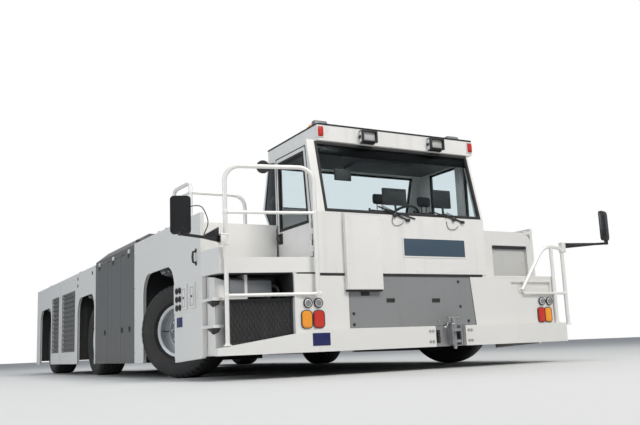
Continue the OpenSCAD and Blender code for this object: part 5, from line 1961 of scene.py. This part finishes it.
@dataclass
class Lamps:
    """Every lamp as it looks: ribbed oval lenses, bowls and domes, with their rims and guards."""

    front: tuple[tuple[float, float, float, bool], ...] = (
        (-1.422, -1.312, -4.88, True), (-1.29, -1.175, -4.88, False),
        (1.865, 1.965, -4.82, True), (1.755, 1.855, -4.82, False),
    )
    rounds: tuple[tuple[float, float], ...] = (
        (-1.35, -4.88), (-1.232, -4.88), (1.828, -4.82), (1.945, -4.82),
    )
    round_z: float = 0.712
    amber: Solid = field(default_factory=Solid)
    red: Solid = field(default_factory=Solid)
    grey: Solid = field(default_factory=Solid)
    rims: Solid = field(default_factory=Solid)

    @staticmethod
    def lens(
        solid: Solid, face: float, x: float, z: float, w: float, h: float, ribs: int = 7
    ) -> None:
        """Adds one crowned lens with ribs.

        Args:
            solid: What it is added to.
            face: Its front, along the plane's normal.
            x: Its middle.
            z: Its middle's height.
            w: Half its width.
            h: Half its height.
            ribs: How many ribs cross it.
        """
        for inset, top in ((0.0, -0.008), (0.006, -0.003), (0.014, 0.0)):
            solid.prism(oval(x, z, w - inset, h - inset), 2, face - 0.0195, face + top)
        for k in range(ribs):
            at = z - h * 0.72 + 1.44 * h * k / max(1, ribs - 1)
            solid.box((x - w * 0.62, at - 0.002, face - 0.004),
                      (x + w * 0.62, at + 0.002, face + 0.0012), 0.0008)

    def front_clusters(self) -> None:
        """Adds the oval lamps on the front."""
        for x0, x1, y, is_amber in self.front:
            solid = self.amber if is_amber else self.red
            for each in (solid, self.rims):
                each.turn_to(FACING_FRONT)
            c, w = (x0 + x1) / 2, (x1 - x0) / 2
            self.lens(solid, -y, c, 0.5525, w, 0.0825)
            self.rims.ring(oval(c, 0.5525, w, 0.0825), 0.0, 0.007, -y - 0.02, -y - 0.006)

    def rear_clusters(self) -> None:
        """Adds the upright lamps on the ends of the rear arms."""
        for x in (-1.95, 1.95):
            for each in (self.amber, self.red, self.rims):
                each.turn_to(FACING_REAR)
            self.lens(self.amber, 5.1755, -x, 1.405, 0.07, 0.075)
            self.lens(self.red, 5.1755, -x, 1.252, 0.07, 0.072)
            self.rims.ring(rect(-x - 0.074, 1.174, -x + 0.074, 1.486), 0.0, 0.01, 5.159, 5.168)

    def roof_lamps(self) -> None:
        """Adds the domes and the markers on the roof, and makes all amber and red lenses."""
        self.amber.turn_to(Matrix())
        for x in BEACONS_X:
            self.amber.lathe([(0, 0), (0, 0.0645), (0.02, 0.0645), (0.024, 0.0525), (0.046, 0.05),
                              (0.057, 0.04), (0.062, 0.022), (0.0622, 0)], (x, *BEACON_YZ),
                             steps=40)
        self.red.turn_to(plane((0, -4.726, 0), FRONT_FACE))
        for x in MARKERS_X:
            self.lens(self.red, 0.0, x, 2.5325, 0.031, 0.0525, 5)
        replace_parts(self.amber.piece("amber_lenses", Finish.AMBER), "lamps_amber")
        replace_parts(self.red.piece("red_lenses", Finish.RED), "lamps_red")

    def round_lamps(self) -> None:
        """Adds the round lamps above the ovals, and makes their bowls."""
        self.grey.turn_to(FACING_FRONT)
        self.rims.turn_to(FACING_FRONT)
        bowls = Solid(FACING_FRONT)
        for x, y in self.rounds:
            at = (x, self.round_z, -y)
            self.grey.lathe([(-0.019, 0), (-0.019, 0.04), (-0.006, 0.04), (-0.003, 0.036),
                             (0.0, 0.02), (0.0005, 0)], at, steps=36)
            self.rims.lathe([(-0.02, 0.04), (-0.002, 0.04), (0.001, 0.0425), (0.0, 0.0465),
                             (-0.008, 0.049), (-0.02, 0.049)], at, steps=36)
            bowls.lathe([(-0.004, 0), (-0.004, 0.031), (0.0005, 0.03), (0.0015, 0.02),
                         (0.0018, 0)], at, steps=32)
        bowls.piece("head_lamp_bowls", Finish.LAMP_GREY)

    def work_lamps(self) -> None:
        """Adds the lamps above the windscreen, and makes all grey lenses and rims."""
        panes = Solid(FACING_FRONT)
        for x0, x1 in WORK_LAMPS_X:
            self.grey.box((x0, 2.458, 4.7005), (x1, 2.575, 4.754), 0.006)
            panes.box((x0 + 0.01, 2.468, 4.75), (x1 - 0.01, 2.565, 4.7598), 0.003)
        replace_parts(self.grey.piece("grey_lenses", Finish.LAMP_LENS), "lamps_white")
        panes.piece("work_lamp_panes", Finish.HOOD_GREY)
        self.rims.piece("lamp_rims", Finish.BLACK)

    def guards(self) -> None:
        """Makes the brackets before the domes."""
        guard = Solid()
        for x in BEACONS_X:
            guard.prism([(-4.668, 2.6), (-4.585, 2.59), (-4.575, 2.66), (-4.59, 2.672),
                         (-4.645, 2.672), (-4.662, 2.65)], 0, x - 0.075, x + 0.075, 0.006)
            guard.box((x - 0.06, -4.6, 2.596), (x + 0.06, -4.545, 2.616), 0.004)
        guard.piece("beacon_guards", Finish.LAMP_GREY)

    def build(self) -> None:
        """Makes the lenses, which stand for the CAD's plain blocks, their rims and guards."""
        self.front_clusters()
        self.rear_clusters()
        self.roof_lamps()
        self.round_lamps()
        self.work_lamps()
        self.guards()


@dataclass
class ServicePanel:
    """Sockets, switch boxes, plate and handle on the right flank, and small covers above."""

    face: Matrix = field(default_factory=lambda: Side.RIGHT.wall(FLANK_X))

    def panel(self) -> None:
        """Makes the bolted panel and its boxes."""
        back = Solid(self.face)
        back.box((3.49, 0.69, -0.001), (4.235, 1.005, 0.005), 0.003)
        back.bolt_grid((3.51, 3.775, 4.215), (0.71, 0.985), 0.014, 0.009)
        back.piece("service_panel", Finish.WHITE)
        white = Solid(self.face)
        white.box((3.8, 0.72, 0.004), (3.95, 0.98, 0.028), 0.006)
        white.box((4.05, 0.72, 0.004), (4.19, 0.98, 0.028), 0.006)
        white.box((3.86, 0.955, 0.026), (3.89, 0.965, 0.032), 0.001)
        white.piece("service_boxes", Finish.SHELL)

    def sockets(self) -> None:
        """Makes the sockets, the boxes' switches, the handle and the covers over the mid wheel."""
        dark = Solid(self.face)
        for x, z in ((x, z) for x in (3.6, 3.7) for z in (0.93, 0.84, 0.75)):
            dark.knob([(0, 0.034), (0.012, 0.033), (0.014, 0.026), (0.005, 0.024)],
                      (x, z, 0.004), steps=28)
            dark.lathe([(0, 0), (0, 0.01), (0.008, 0.009), (0.009, 0)], (x, z, 0.008), steps=14)
        for x in (3.83, 4.08):
            dark.ring(rect(x, 0.75, x + 0.085, 0.93), 0.0, 0.003, 0.026, 0.03, 0.001)
            dark.lathe([(0, 0), (0, 0.012), (0.008, 0.011), (0.009, 0)], (x + 0.0425, 0.84, 0.027),
                       steps=18)
        dark.tube([(4.187, 1.17, 0.0), (4.187, 1.178, 0.032), (4.187, 1.23, 0.038),
                   (4.187, 1.282, 0.032), (4.187, 1.29, 0.0)], 0.012, 12)
        for z in (1.165, 1.295):
            dark.knob([(0, 0.024), (0.006, 0.022)], (4.187, z, 0), steps=20)
        for x, z in ((-1.36, 1.545), (-1.36, 1.43), (-0.337, 1.537)):
            dark.box((x - 0.024, z - 0.024, -0.001), (x + 0.024, z + 0.024, 0.006), 0.003)
        dark.piece("service_sockets", Finish.BLACK)

    def plate(self) -> None:
        """Makes the blank blue plate."""
        plate = Solid(self.face)
        plate.box((3.578, 0.547, -0.001), (3.752, 0.65, 0.004))
        plate.piece("flank_plate", Finish.PLATE_BLUE)

    def build(self) -> None:
        """Makes the pieces."""
        self.panel()
        self.sockets()
        self.plate()


@dataclass
class Flank:
    """Arch lips, louvre frames, seams, latches and the door's ribs on one flank."""

    side: Side
    arches: tuple[tuple[float, float], ...] = ((-2.914, 0.22), (0.782, 0.18), (4.227, 0.18))
    arch_half: float = 0.595
    arch_top: float = 1.236
    arch_r: float = 0.26
    louvre_y: tuple[tuple[float, float], ...] = ((1.59, 2.59), (2.94, 3.52))
    louvre_z: tuple[float, float] = (0.4, 1.35)
    door_y: tuple[float, float] = (-1.938, 0.123)
    seam_y: float = 2.765

    @property
    def face(self) -> Matrix:
        """Axes of the flank's outer face."""
        return self.side.wall(FLANK_X)

    def arch_lips(self) -> None:
        """Makes the rolled edges of the three wheel arches."""
        s, h, r, top = self.side.value, self.arch_half, self.arch_r, self.arch_top
        lips = Solid(self.face)
        for y, skirt in self.arches:
            path = [(s * (y - h), skirt), (s * (y - h), top - r)]
            for start, cx in ((180, -h + r), (90, h - r)):
                for k in range(1, 9):
                    a = math.radians(start - 90 * k / 8)
                    path.append((s * (y + cx + r * math.cos(a)), top - r + r * math.sin(a)))
            path.append((s * (y + h), skirt))
            lips.tube([(*p, -0.004) for p in path], 0.0075, 8)
        lips.piece(f"arch_lips_{self.side.word}", Finish.WHITE)

    def louvre_frames(self) -> None:
        """Makes the bolted frames round the two louvres."""
        frames = Solid(self.face)
        z0, z1 = self.louvre_z
        for y0, y1 in self.louvre_y:
            a, b = self.side.span(y0, y1)
            frames.ring(rect(a, z0, b, z1), 0.0, 0.022, -0.002, 0.005)
            frames.bolt_grid((a - 0.011, b + 0.011), (z0 + 0.05, (z0 + z1) / 2, z1 - 0.05),
                             0.012, 0.009)
        frames.piece(f"louvre_frames_{self.side.word}", Finish.DOOR_GREY)

    def seams(self) -> None:
        """Makes the panels' screws and the seam between the two rear panels."""
        s = self.side.value
        screws = Solid(self.face)
        screws.bolt_grid([s * y for y in (-1.975, 0.16, 5.08)], (0.3, 0.7, 1.1, 1.5), 0.016, 0.006)
        screws.bolts([(s * y, 1.56) for y in (1.7, 2.1, 2.5, 2.9, 3.3, 3.7)], 0.014, 0.006)
        screws.piece(f"flank_screws_{self.side.word}", Finish.BOLT)
        gap = Solid(self.face)
        seam = s * self.seam_y
        gap.box((seam - 0.003, 0.19, -0.003), (seam + 0.003, 1.59, 0.0008), 0.0005)
        gap.piece(f"flank_seams_{self.side.word}", Finish.SEAL)

    def door_dress(self) -> None:
        """Makes the lifting door's ribs and latches, and the strip above it."""
        s, word, face = self.side.value, self.side.word, self.face
        lo, hi = self.side.span(*self.door_y)
        door = Solid(face)
        for k in (1, 2):
            x = lo + (hi - lo) * k / 3
            door.box((x - 0.03, 0.215, -0.001), (x + 0.03, 1.575, 0.0015), 0.0012)
        door.box((lo + 0.02, 0.185, -0.001), (hi - 0.02, 0.215, 0.006), 0.003)
        door.piece(f"door_ribs_{word}", Finish.DOOR_GREY, f"side_door_{word}")
        strip = Solid(face)
        strip.box((lo, 1.5955, -0.001), (hi, 1.636, 0.003), 0.0015)
        strip.piece(f"deck_edge_strip_{word}", Finish.DOOR_GREY)
        latch = Solid(face)
        for y in (-1.361, -1.726, -0.45):
            latch.knob([(0, 0.04), (0.006, 0.038), (0.008, 0.03), (0.003, 0.028)],
                       (s * y, 0.61, 0), steps=28)
            latch.box((s * y - 0.026, 0.603, 0.002), (s * y + 0.026, 0.617, 0.01), 0.003)
        latch.piece(f"door_latches_{word}", Finish.BLACK, f"side_door_{word}")

    def build(self) -> None:
        """Makes all of the flank."""
        self.arch_lips()
        self.louvre_frames()
        self.seams()
        self.door_dress()


@dataclass
class Deck:
    """Anti-slip plates, lids and small gear on the decks and the engine cover."""

    plates: tuple[tuple[float, float, float, float], ...] = (
        (-0.9, 0.9, -3.35, -2.1), (-1.95, -1.1, -3.35, -2.1), (1.1, 1.95, -3.35, -2.1),
        *((*x, *y) for x in ((-2.12, -0.95), (0.95, 2.12))
          for y in ((0.3, 1.45), (1.55, 2.75), (2.85, 4.05), (4.15, 5.05))),
    )
    eyes: tuple[Point, ...] = (
        (-1.02, -2.72), (1.02, -2.72), (-2.17, 1.5), (2.17, 1.5), (-2.17, 4.1), (2.17, 4.1),
    )

    def walkway(self) -> None:
        """Makes the plates with their raised bars."""
        pads = Solid(Matrix.Translation((0, 0, DECK_Z)))
        for x0, x1, y0, y1 in self.plates:
            pads.box((x0, y0, -0.002), (x1, y1, 0.004))
            across, along = int((x1 - x0) / 0.12), int((y1 - y0) / 0.12)
            for i in range(across):
                for j in range(along):
                    x, y = x0 + (i + 0.5) * (x1 - x0) / across, y0 + (j + 0.5) * (y1 - y0) / along
                    lean = Matrix.Translation((x, y, 0.004)) @ Matrix.Rotation(
                        math.radians(45 if (i + j) % 2 else -45), 4, "Z")
                    pads.prism([(-0.034, 0), (0, -0.006), (0.034, 0), (0, 0.006)], 2, -0.001,
                               0.0025, 0, lean)
        pads.piece("deck_treads", Finish.GRIT)

    def gear(self) -> None:
        """Makes lifting eyes, filler caps, a side lamp and its cable along the kerb."""
        eyes = Solid(Matrix.Translation((0, 0, DECK_Z)))
        for x, y in self.eyes:
            eyes.box((x - 0.045, y - 0.035, -0.002), (x + 0.045, y + 0.035, 0.008), 0.003)
            ring = [Vector((x + 0.03 * math.cos(a), y, 0.012 + 0.03 * math.sin(a)))
                    for a in [math.pi * k / 10 for k in range(11)]]
            eyes.tube(ring, 0.007, 8)
            for dx, dy in ((-0.034, -0.024), (0.034, -0.024), (-0.034, 0.024), (0.034, 0.024)):
                eyes.bolt((x + dx, y + dy, 0.007), UP, 0.014, 0.006)
        eyes.piece("lifting_eyes", Finish.BOLT)
        caps = Solid(Matrix.Translation((0, 0, DECK_Z)))
        for x, y in ((-2.06, -2.3), (-0.98, 2.8), (0.98, 2.8), (2.06, -2.3)):
            caps.lathe([(0, 0), (0, 0.058), (0.006, 0.058), (0.01, 0.045), (0.03, 0.043),
                        (0.034, 0.038), (0.035, 0)], (x, y, -0.002), steps=32)
            caps.box((x - 0.038, y - 0.007, 0.03), (x + 0.038, y + 0.007, 0.044), 0.003)
        caps.box((-2.235, -2.02, 0.034), (-2.165, -1.955, 0.085), 0.006)
        caps.tube([(-2.205, -2.02, 0.048), (-2.205, -2.35, 0.045), (-2.205, -2.75, 0.045),
                   (-2.205, -3.15, 0.045)], 0.011, 8)
        for y in (-2.15, -2.5, -2.85, -3.12):
            caps.box((-2.222, y - 0.012, 0.034), (-2.188, y + 0.012, 0.06), 0.003)
        caps.piece("deck_gear", Finish.BLACK)

    def cover(self) -> None:
        """Makes the grilles, lids and handles on the engine cover."""
        top = Solid(Matrix.Translation((0, 0, COVER_Z)))
        for x0, x1 in ((-1.75, -0.25), (0.25, 1.75)):
            top.box((x0, -1.75, -0.003), (x1, -0.05, 0.01), 0.006)
            for k in range(18):
                y = -1.62 + k * 0.048
                top.box((x0 + 0.15, y, 0.008), (x1 - 0.15, y + 0.022, 0.02), 0.003)
            top.bolt_grid((x0 + 0.04, x1 - 0.04), (-1.7, -1.2, -0.6, -0.1), 0.018, 0.016)
            for x in (x0 + 0.3, x1 - 0.3):
                path = ((-0.07, 0.008), (-0.07, 0.045), (0.07, 0.045), (0.07, 0.008))
                top.tube([(x + dx, -0.25, z) for dx, z in path], 0.007, 8)
        top.piece("engine_lids", Finish.DOOR_GREY)
        pipe = Solid(Matrix.Translation((0, 0, COVER_Z)))
        for x in (-0.12, 0.12):
            pipe.lathe(rect(0, 0.045, 0.1, 0.05), (x, -0.35, -0.003), steps=28)
            pipe.knob([(0, 0.085), (0.012, 0.085), (0.014, 0.052)], (x, -0.35, -0.003), steps=28)
        pipe.piece("exhausts", Finish.STEEL)

    def build(self) -> None:
        """Makes all that stands on the decks."""
        self.walkway()
        self.gear()
        self.cover()


@dataclass
class RearEnd:
    """Buffers, plates, reflectors and tie rings on the ends of the two rear arms."""

    face_y: float = 5.16

    def build(self) -> None:
        """Makes the pieces of both arms."""
        face = plane((0, self.face_y, 0), REAR_FACE)
        for side in Side:
            s, word = side.value, side.word
            buffers = Solid(face)
            a, b = side.span(-1.15, -1.88)
            buffers.box((a, 0.4, -0.001), (b, 0.52, 0.019), 0.006)
            for k in range(5):
                x = a + 0.06 + k * (b - a - 0.12) / 4
                buffers.knob([(0, 0.014), (0.001, 0.014)], (x, 0.46, 0.018), steps=16)
            buffers.piece(f"rear_buffer_{word}", Finish.HOSE)
            panel = Solid(face)
            lo, hi = side.span(-0.93, -1.8)
            panel.box((lo, 0.64, -0.001), (hi, 1.1, 0.006), 0.004)
            panel.bolt_grid((lo + 0.03, hi - 0.03), (0.67, 0.87, 1.07), 0.018, 0.012)
            panel.box((lo + 0.1, 1.2, -0.001), (lo + 0.62, 1.32, 0.004))
            panel.piece(f"rear_panel_{word}", Finish.WHITE)
            holes = Solid(face)
            for x in (0.965, 2.05):
                holes.lathe([(-0.03, 0.0295), (0.004, 0.0295), (0.006, 0.033), (0.006, 0.044),
                             (0.0, 0.048), (-0.004, 0.048), (-0.004, 0.0295)],
                            (-s * x, 0.44, 0), steps=32)
            holes.bolts([(-s * x, z) for x in (0.9, 2.17) for z in (0.6, 0.9, 1.2, 1.5)], 0.02,
                        0.012)
            holes.piece(f"rear_rings_{word}", Finish.BOLT)
            glow = Solid(face)
            for x in (1.05, 2.1):
                glow.lathe([(0, 0), (0, 0.036), (0.006, 0.035), (0.009, 0.028), (0.01, 0)],
                           (-s * x, 1.47, 0), steps=28)
            glow.piece(f"rear_reflectors_{word}", Finish.RED)


@dataclass
class BayWalls:
    """Stiffeners and pipes with their clips on the walls of the nose-wheel bay."""

    half: float = 0.85
    posts: tuple[float, ...] = (1.25, 1.85, 2.45, 3.05, 3.65, 4.25, 4.85)

    def build(self) -> None:
        """Makes the pieces of both walls."""
        for side in Side:
            word = side.word
            a, b = side.span(self.half + 0.001, self.half - 0.014)
            ribs = Solid()
            for y in self.posts:
                low = 0.52 if y < 2.7 else 0.36
                ribs.box((a, y - 0.035, low), (b, y + 0.035, 1.57), 0.003)
            for z in (0.56, 1.5):
                ribs.box((a, 1.1, z - 0.03), (b, 5.05, z + 0.03), 0.003)
            ribs.piece(f"bay_ribs_{word}", Finish.LEG)
            pipes = Solid()
            x = side.value * (self.half - 0.028)
            for z in (1.325, 1.385):
                pipes.tube([(x, 1.08, z), (x, 2.4, z), (x, 3.7, z), (x, 5.02, z)], 0.014, 12)
            pipes.piece(f"bay_pipes_{word}", Finish.LEG)
            clips = Solid()
            lo, hi = side.span(self.half - 0.012, self.half - 0.04)
            for y in self.posts:
                clips.box((lo, y - 0.018, 1.3), (hi, y + 0.018, 1.42), 0.003)
            for y in (1.55, 3.35, 4.6):
                clips.box((lo, y - 0.07, 1.16), (hi, y + 0.07, 1.24), 0.006)
            clips.piece(f"bay_clips_{word}", Finish.BLACK)


@dataclass
class Cradle:
    """Pads, ribs and bolts of the nose-wheel cradle, its turntable and its ramp."""

    middle_y: float = 1.82

    def turntable(self) -> None:
        """Makes the tread bars, rim bolts, pads and ribs that turn with the disc."""
        bars = Solid(Matrix.Translation((0, self.middle_y, 0.23)))
        for k in range(11):
            y = -0.36 + k * 0.1
            bars.box((-0.41, y, -0.002), (0.41, y + 0.025, 0.007), 0.003)
        for x, y in on_circle(28, 0.72):
            bars.bolt((x, y, -0.001), UP, 0.024, 0.01)
        bars.piece("cradle_bars", Finish.TREAD, "cradle_turret")
        pads = Solid(Matrix.Translation((0, self.middle_y, 0)))
        for x0, x1 in ((-0.431, -0.412), (0.412, 0.431)):
            pads.prism([(-0.43, 0.262), (-0.43, 0.625), (-0.11, 0.625), (0.33, 0.345),
                        (0.41, 0.262)], 0, x0, x1, 0.005)
        pads.box((-0.36, -0.421, 0.27), (0.36, -0.4, 0.68), 0.006)
        for z in (0.36, 0.47, 0.58):
            pads.box((-0.34, -0.402, z), (0.34, -0.394, z + 0.05), 0.003)
        pads.piece("cradle_pads", Finish.HOSE, "cradle_turret")
        ribs = Solid(Matrix.Translation((0, self.middle_y, 0)))
        for s in (-1, 1):
            for y in (-0.38, -0.15, 0.08):
                top = 0.6 if y < -0.1 else 0.45
                ribs.prism([(s * 0.495, 0.229), (s * 0.495, top), (s * 0.515, top),
                            (s * 0.6, 0.229)], 1, y - 0.008, y + 0.008)
        ribs.piece("cradle_ribs", Finish.LEG, "cradle_turret")

    def ramp(self) -> None:
        """Makes the ribs and treads that swing with the ramp."""
        face = plane((0, 2.675, 0), REAR_FACE)
        ribs = Solid(face)
        for x in (-0.5, -0.25, 0.0, 0.25, 0.5):
            ribs.box((x - 0.015, 0.245, -0.001), (x + 0.015, 0.725, 0.014), 0.003)
        for z in (0.3, 0.45, 0.6):
            ribs.box((-0.53, z, -0.001), (0.53, z + 0.02, 0.01), 0.003)
        ribs.piece("ramp_ribs", Finish.STEEL, "cradle_ramp")
        grip = Solid(plane((0, 2.635, 0), FRONT_FACE))
        for k in range(10):
            z = 0.27 + k * 0.046
            grip.box((-0.52, z, -0.001), (0.52, z + 0.018, 0.006))
        grip.piece("ramp_treads", Finish.TREAD, "cradle_ramp")

    def carrier(self) -> None:
        """Makes the bolts and wear strips fixed round the turntable."""
        frame_bolts = Solid(Matrix.Translation((0, 0, 0.48)))
        for x in (-0.8175, 0.8175):
            for k in range(9):
                frame_bolts.bolt((x, 1.12 + k * 0.18, -0.001), UP, 0.026, 0.012)
        frame_bolts.piece("carrier_bolts", Finish.BOLT)
        strip = Solid()
        for side in Side:
            a, b = side.span(0.786, 0.776)
            strip.box((a, 1.1, 0.27), (b, 2.6, 0.44), 0.003)
        strip.piece("carrier_strips", Finish.HOSE)

    def build(self) -> None:
        """Makes the cradle's pieces."""
        self.turntable()
        self.ramp()
        self.carrier()


@dataclass
class LegDress:
    """Ring bolts, motor cover and pipes with their ties on one wheel leg."""

    station: Station
    ring_r: float = 0.27
    motor_r: float = 0.112

    def build(self) -> None:
        """Makes the pieces on the leg's own body."""
        at, name, hub_z = self.station.axes(0), self.station.name, self.station.axle_z
        body = f"steer_{name}" if self.station.steered else CHASSIS
        bolts = Solid(at)
        for x, y in on_circle(20, self.ring_r, 0.5):
            if abs(y) > 0.5 * self.ring_r or x < 0.2 * self.ring_r:
                bolts.bolt((x, y, 1.209), (0, 0, -1), 0.026, 0.014)
        for y, z in on_circle(10, self.motor_r):
            bolts.bolt((0.374, y, hub_z + z), (1, 0, 0), 0.022, 0.012)
        bolts.piece(f"leg_bolts_{name}", Finish.BOLT, body)
        cover = Solid(at)
        cover.knob([(0, 0.06), (0.012, 0.058), (0.016, 0.045), (0.022, 0.04)],
                   (0.4085, 0, hub_z), (1, 0, 0), 32)
        cover.box((0.405, -0.03, hub_z + 0.05), (0.44, 0.03, hub_z + 0.085), 0.005)
        cover.piece(f"motor_cover_{name}", Finish.LEG, body)
        pipes = Solid(at)
        for y, out in ((-0.055, 0.0), (-0.02, 0.012), (0.02, 0.012), (0.055, 0.0)):
            path = (
                (0.425 + out, y * 0.4, hub_z + 0.07), (0.445 + out, y * 0.7, hub_z + 0.14),
                (0.425 + out, y, hub_z + 0.26), (0.405 + out, y, hub_z + 0.4),
                (0.365 + out, y, 1.05), (0.305 + out, y * 1.2, 1.12), (0.275 + out, y * 1.4, 1.165))
            pipes.tube(smooth_path(path, 4), 0.0085, 8)
        for z in (hub_z + 0.27, hub_z + 0.41):
            pipes.box((0.345, -0.07, z - 0.012), (0.432, 0.07, z + 0.012), 0.003)
        pipes.piece(f"leg_pipes_{name}", Finish.HOSE, body)


@dataclass
class Camera:
    """The photograph's viewing angle."""

    place: Point = (-4.971, -11.618, 0.27)
    yaw: float = 29.37
    pitch: float = 9.91
    roll: float = 2.39
    focal: float = 43.65

    def build(self) -> None:
        """Makes the camera."""
        yaw, pitch, roll = (math.radians(a) for a in (self.yaw, self.pitch, self.roll))
        ahead = Vector((math.sin(yaw) * math.cos(pitch), math.cos(yaw) * math.cos(pitch),
                        math.sin(pitch)))
        level = Vector((math.cos(yaw), -math.sin(yaw), 0))
        above = level.cross(ahead)
        right = level * math.cos(roll) - above * math.sin(roll)
        up = level * math.sin(roll) + above * math.cos(roll)
        data = bpy.data.cameras.new("camera")
        data.lens, data.sensor_width, data.sensor_fit = self.focal, 36.0, "HORIZONTAL"
        data.clip_start, data.clip_end = 0.05, 400.0
        camera = bpy.data.objects.new("camera", data)
        turn = Matrix((right, up, -ahead)).transposed().to_4x4()
        camera.matrix_world = Matrix.Translation(self.place) @ turn
        bpy.context.scene.collection.objects.link(camera)
        bpy.context.scene.camera = camera


@dataclass
class Studio:
    """Pale floor, soft lamps and a white background."""

    floor_size: float = 160.0
    floor_colour: Colour = (0.62, 0.62, 0.61)

    def floor(self) -> None:
        """Makes the floor, which shows white to the camera away from the tractor's shadow."""
        mesh = bmesh.new()
        bmesh.ops.create_grid(mesh, x_segments=1, y_segments=1, size=self.floor_size / 2)
        data = bpy.data.meshes.new("floor")
        mesh.to_mesh(data)
        mesh.free()
        made = bpy.data.objects.new("floor", data)
        made.location.z = -0.0005
        bpy.context.scene.collection.objects.link(made)
        g = Graph("floor_paint")
        fine = g.noise(3.0, 5.0)
        darker = tuple(c * 0.94 for c in self.floor_colour)
        g.set(
            Base_Color=g.mix(fine * 0.3, self.floor_colour, darker),
            Roughness=0.8,
        )
        data.materials.append(g.material)

    def lamp(self, name: str, place: Point, size: float, power: float, warmth: Colour) -> None:
        """Makes one soft square lamp aimed at the tractor.

        Args:
            name: The lamp's name.
            place: Where it hangs.
            size: Its side.
            power: Its power in watts.
            warmth: Its colour.
        """
        data = bpy.data.lights.new(name, "AREA")
        data.shape, data.size, data.energy, data.color = "SQUARE", size, power, warmth
        made = bpy.data.objects.new(name, data)
        made.location = place
        aim = Vector((0, -1.0, 0.9)) - Vector(place)
        made.rotation_euler = aim.to_track_quat("-Z", "Y").to_euler()
        bpy.context.scene.collection.objects.link(made)

    def world(self) -> None:
        """Lights from all round, and shows white behind the tractor."""
        world = bpy.data.worlds.new("studio")
        bpy.context.scene.world = world
        world.use_nodes = True
        tree = world.node_tree
        tree.nodes.clear()
        path = tree.nodes.new("ShaderNodeLightPath")
        seen = tree.nodes.new("ShaderNodeMath")
        seen.operation = "MAXIMUM"
        tree.links.new(path.outputs["Is Camera Ray"], seen.inputs[0])
        tree.links.new(path.outputs["Is Transmission Ray"], seen.inputs[1])
        glow, back = (tree.nodes.new("ShaderNodeBackground") for _ in range(2))
        glow.inputs["Color"].default_value = (0.86, 0.92, 1.0, 1.0)
        glow.inputs["Strength"].default_value = 0.42
        back.inputs["Color"].default_value = (1.0, 1.0, 1.0, 1.0)
        back.inputs["Strength"].default_value = 1.0
        mix = tree.nodes.new("ShaderNodeMixShader")
        out = tree.nodes.new("ShaderNodeOutputWorld")
        tree.links.new(seen.outputs[0], mix.inputs[0])
        tree.links.new(glow.outputs[0], mix.inputs[1])
        tree.links.new(back.outputs[0], mix.inputs[2])
        tree.links.new(mix.outputs[0], out.inputs[0])

    def build(self) -> None:
        """Makes the whole studio."""
        self.floor()
        self.lamp("key", (2.5, -17.5, 14.5), 6.0, 2500.0, (1.0, 0.97, 0.92))
        self.lamp("fill", (-16.0, -6.0, 7.0), 9.0, 850.0, (0.92, 0.96, 1.0))
        self.lamp("top", (0.0, 3.0, 14.0), 9.0, 900.0, (1.0, 1.0, 1.0))
        self.world()
        bpy.context.scene.view_settings.view_transform = "Standard"


def main() -> None:
    """Builds the scene in order."""
    logging.basicConfig(level=logging.INFO, format="%(name)s: %(message)s")
    Camera().build()
    Studio().build()
    FrameDress().build()
    for axle, y, turn in (("front", -2.914, 34.0), ("mid", 0.782, 0.0), ("rear", 4.227, 0.0)):
        for side in Side:
            station = Station(axle, side, y, turn, steered=axle != "mid")
            Wheel(station).build()
            LegDress(station).build()
    for part in (CabGlazing(), CabInside(), CabOutside(), HoopRight(), GuardRails(), Mirrors(),
                 Lamps(), Front(), LeftHood(), ServicePanel(), Flank(Side.RIGHT),
                 Flank(Side.LEFT), Deck(), RearEnd(), BayWalls(), Cradle()):
        part.build()


if __name__ == "__main__":
    main()
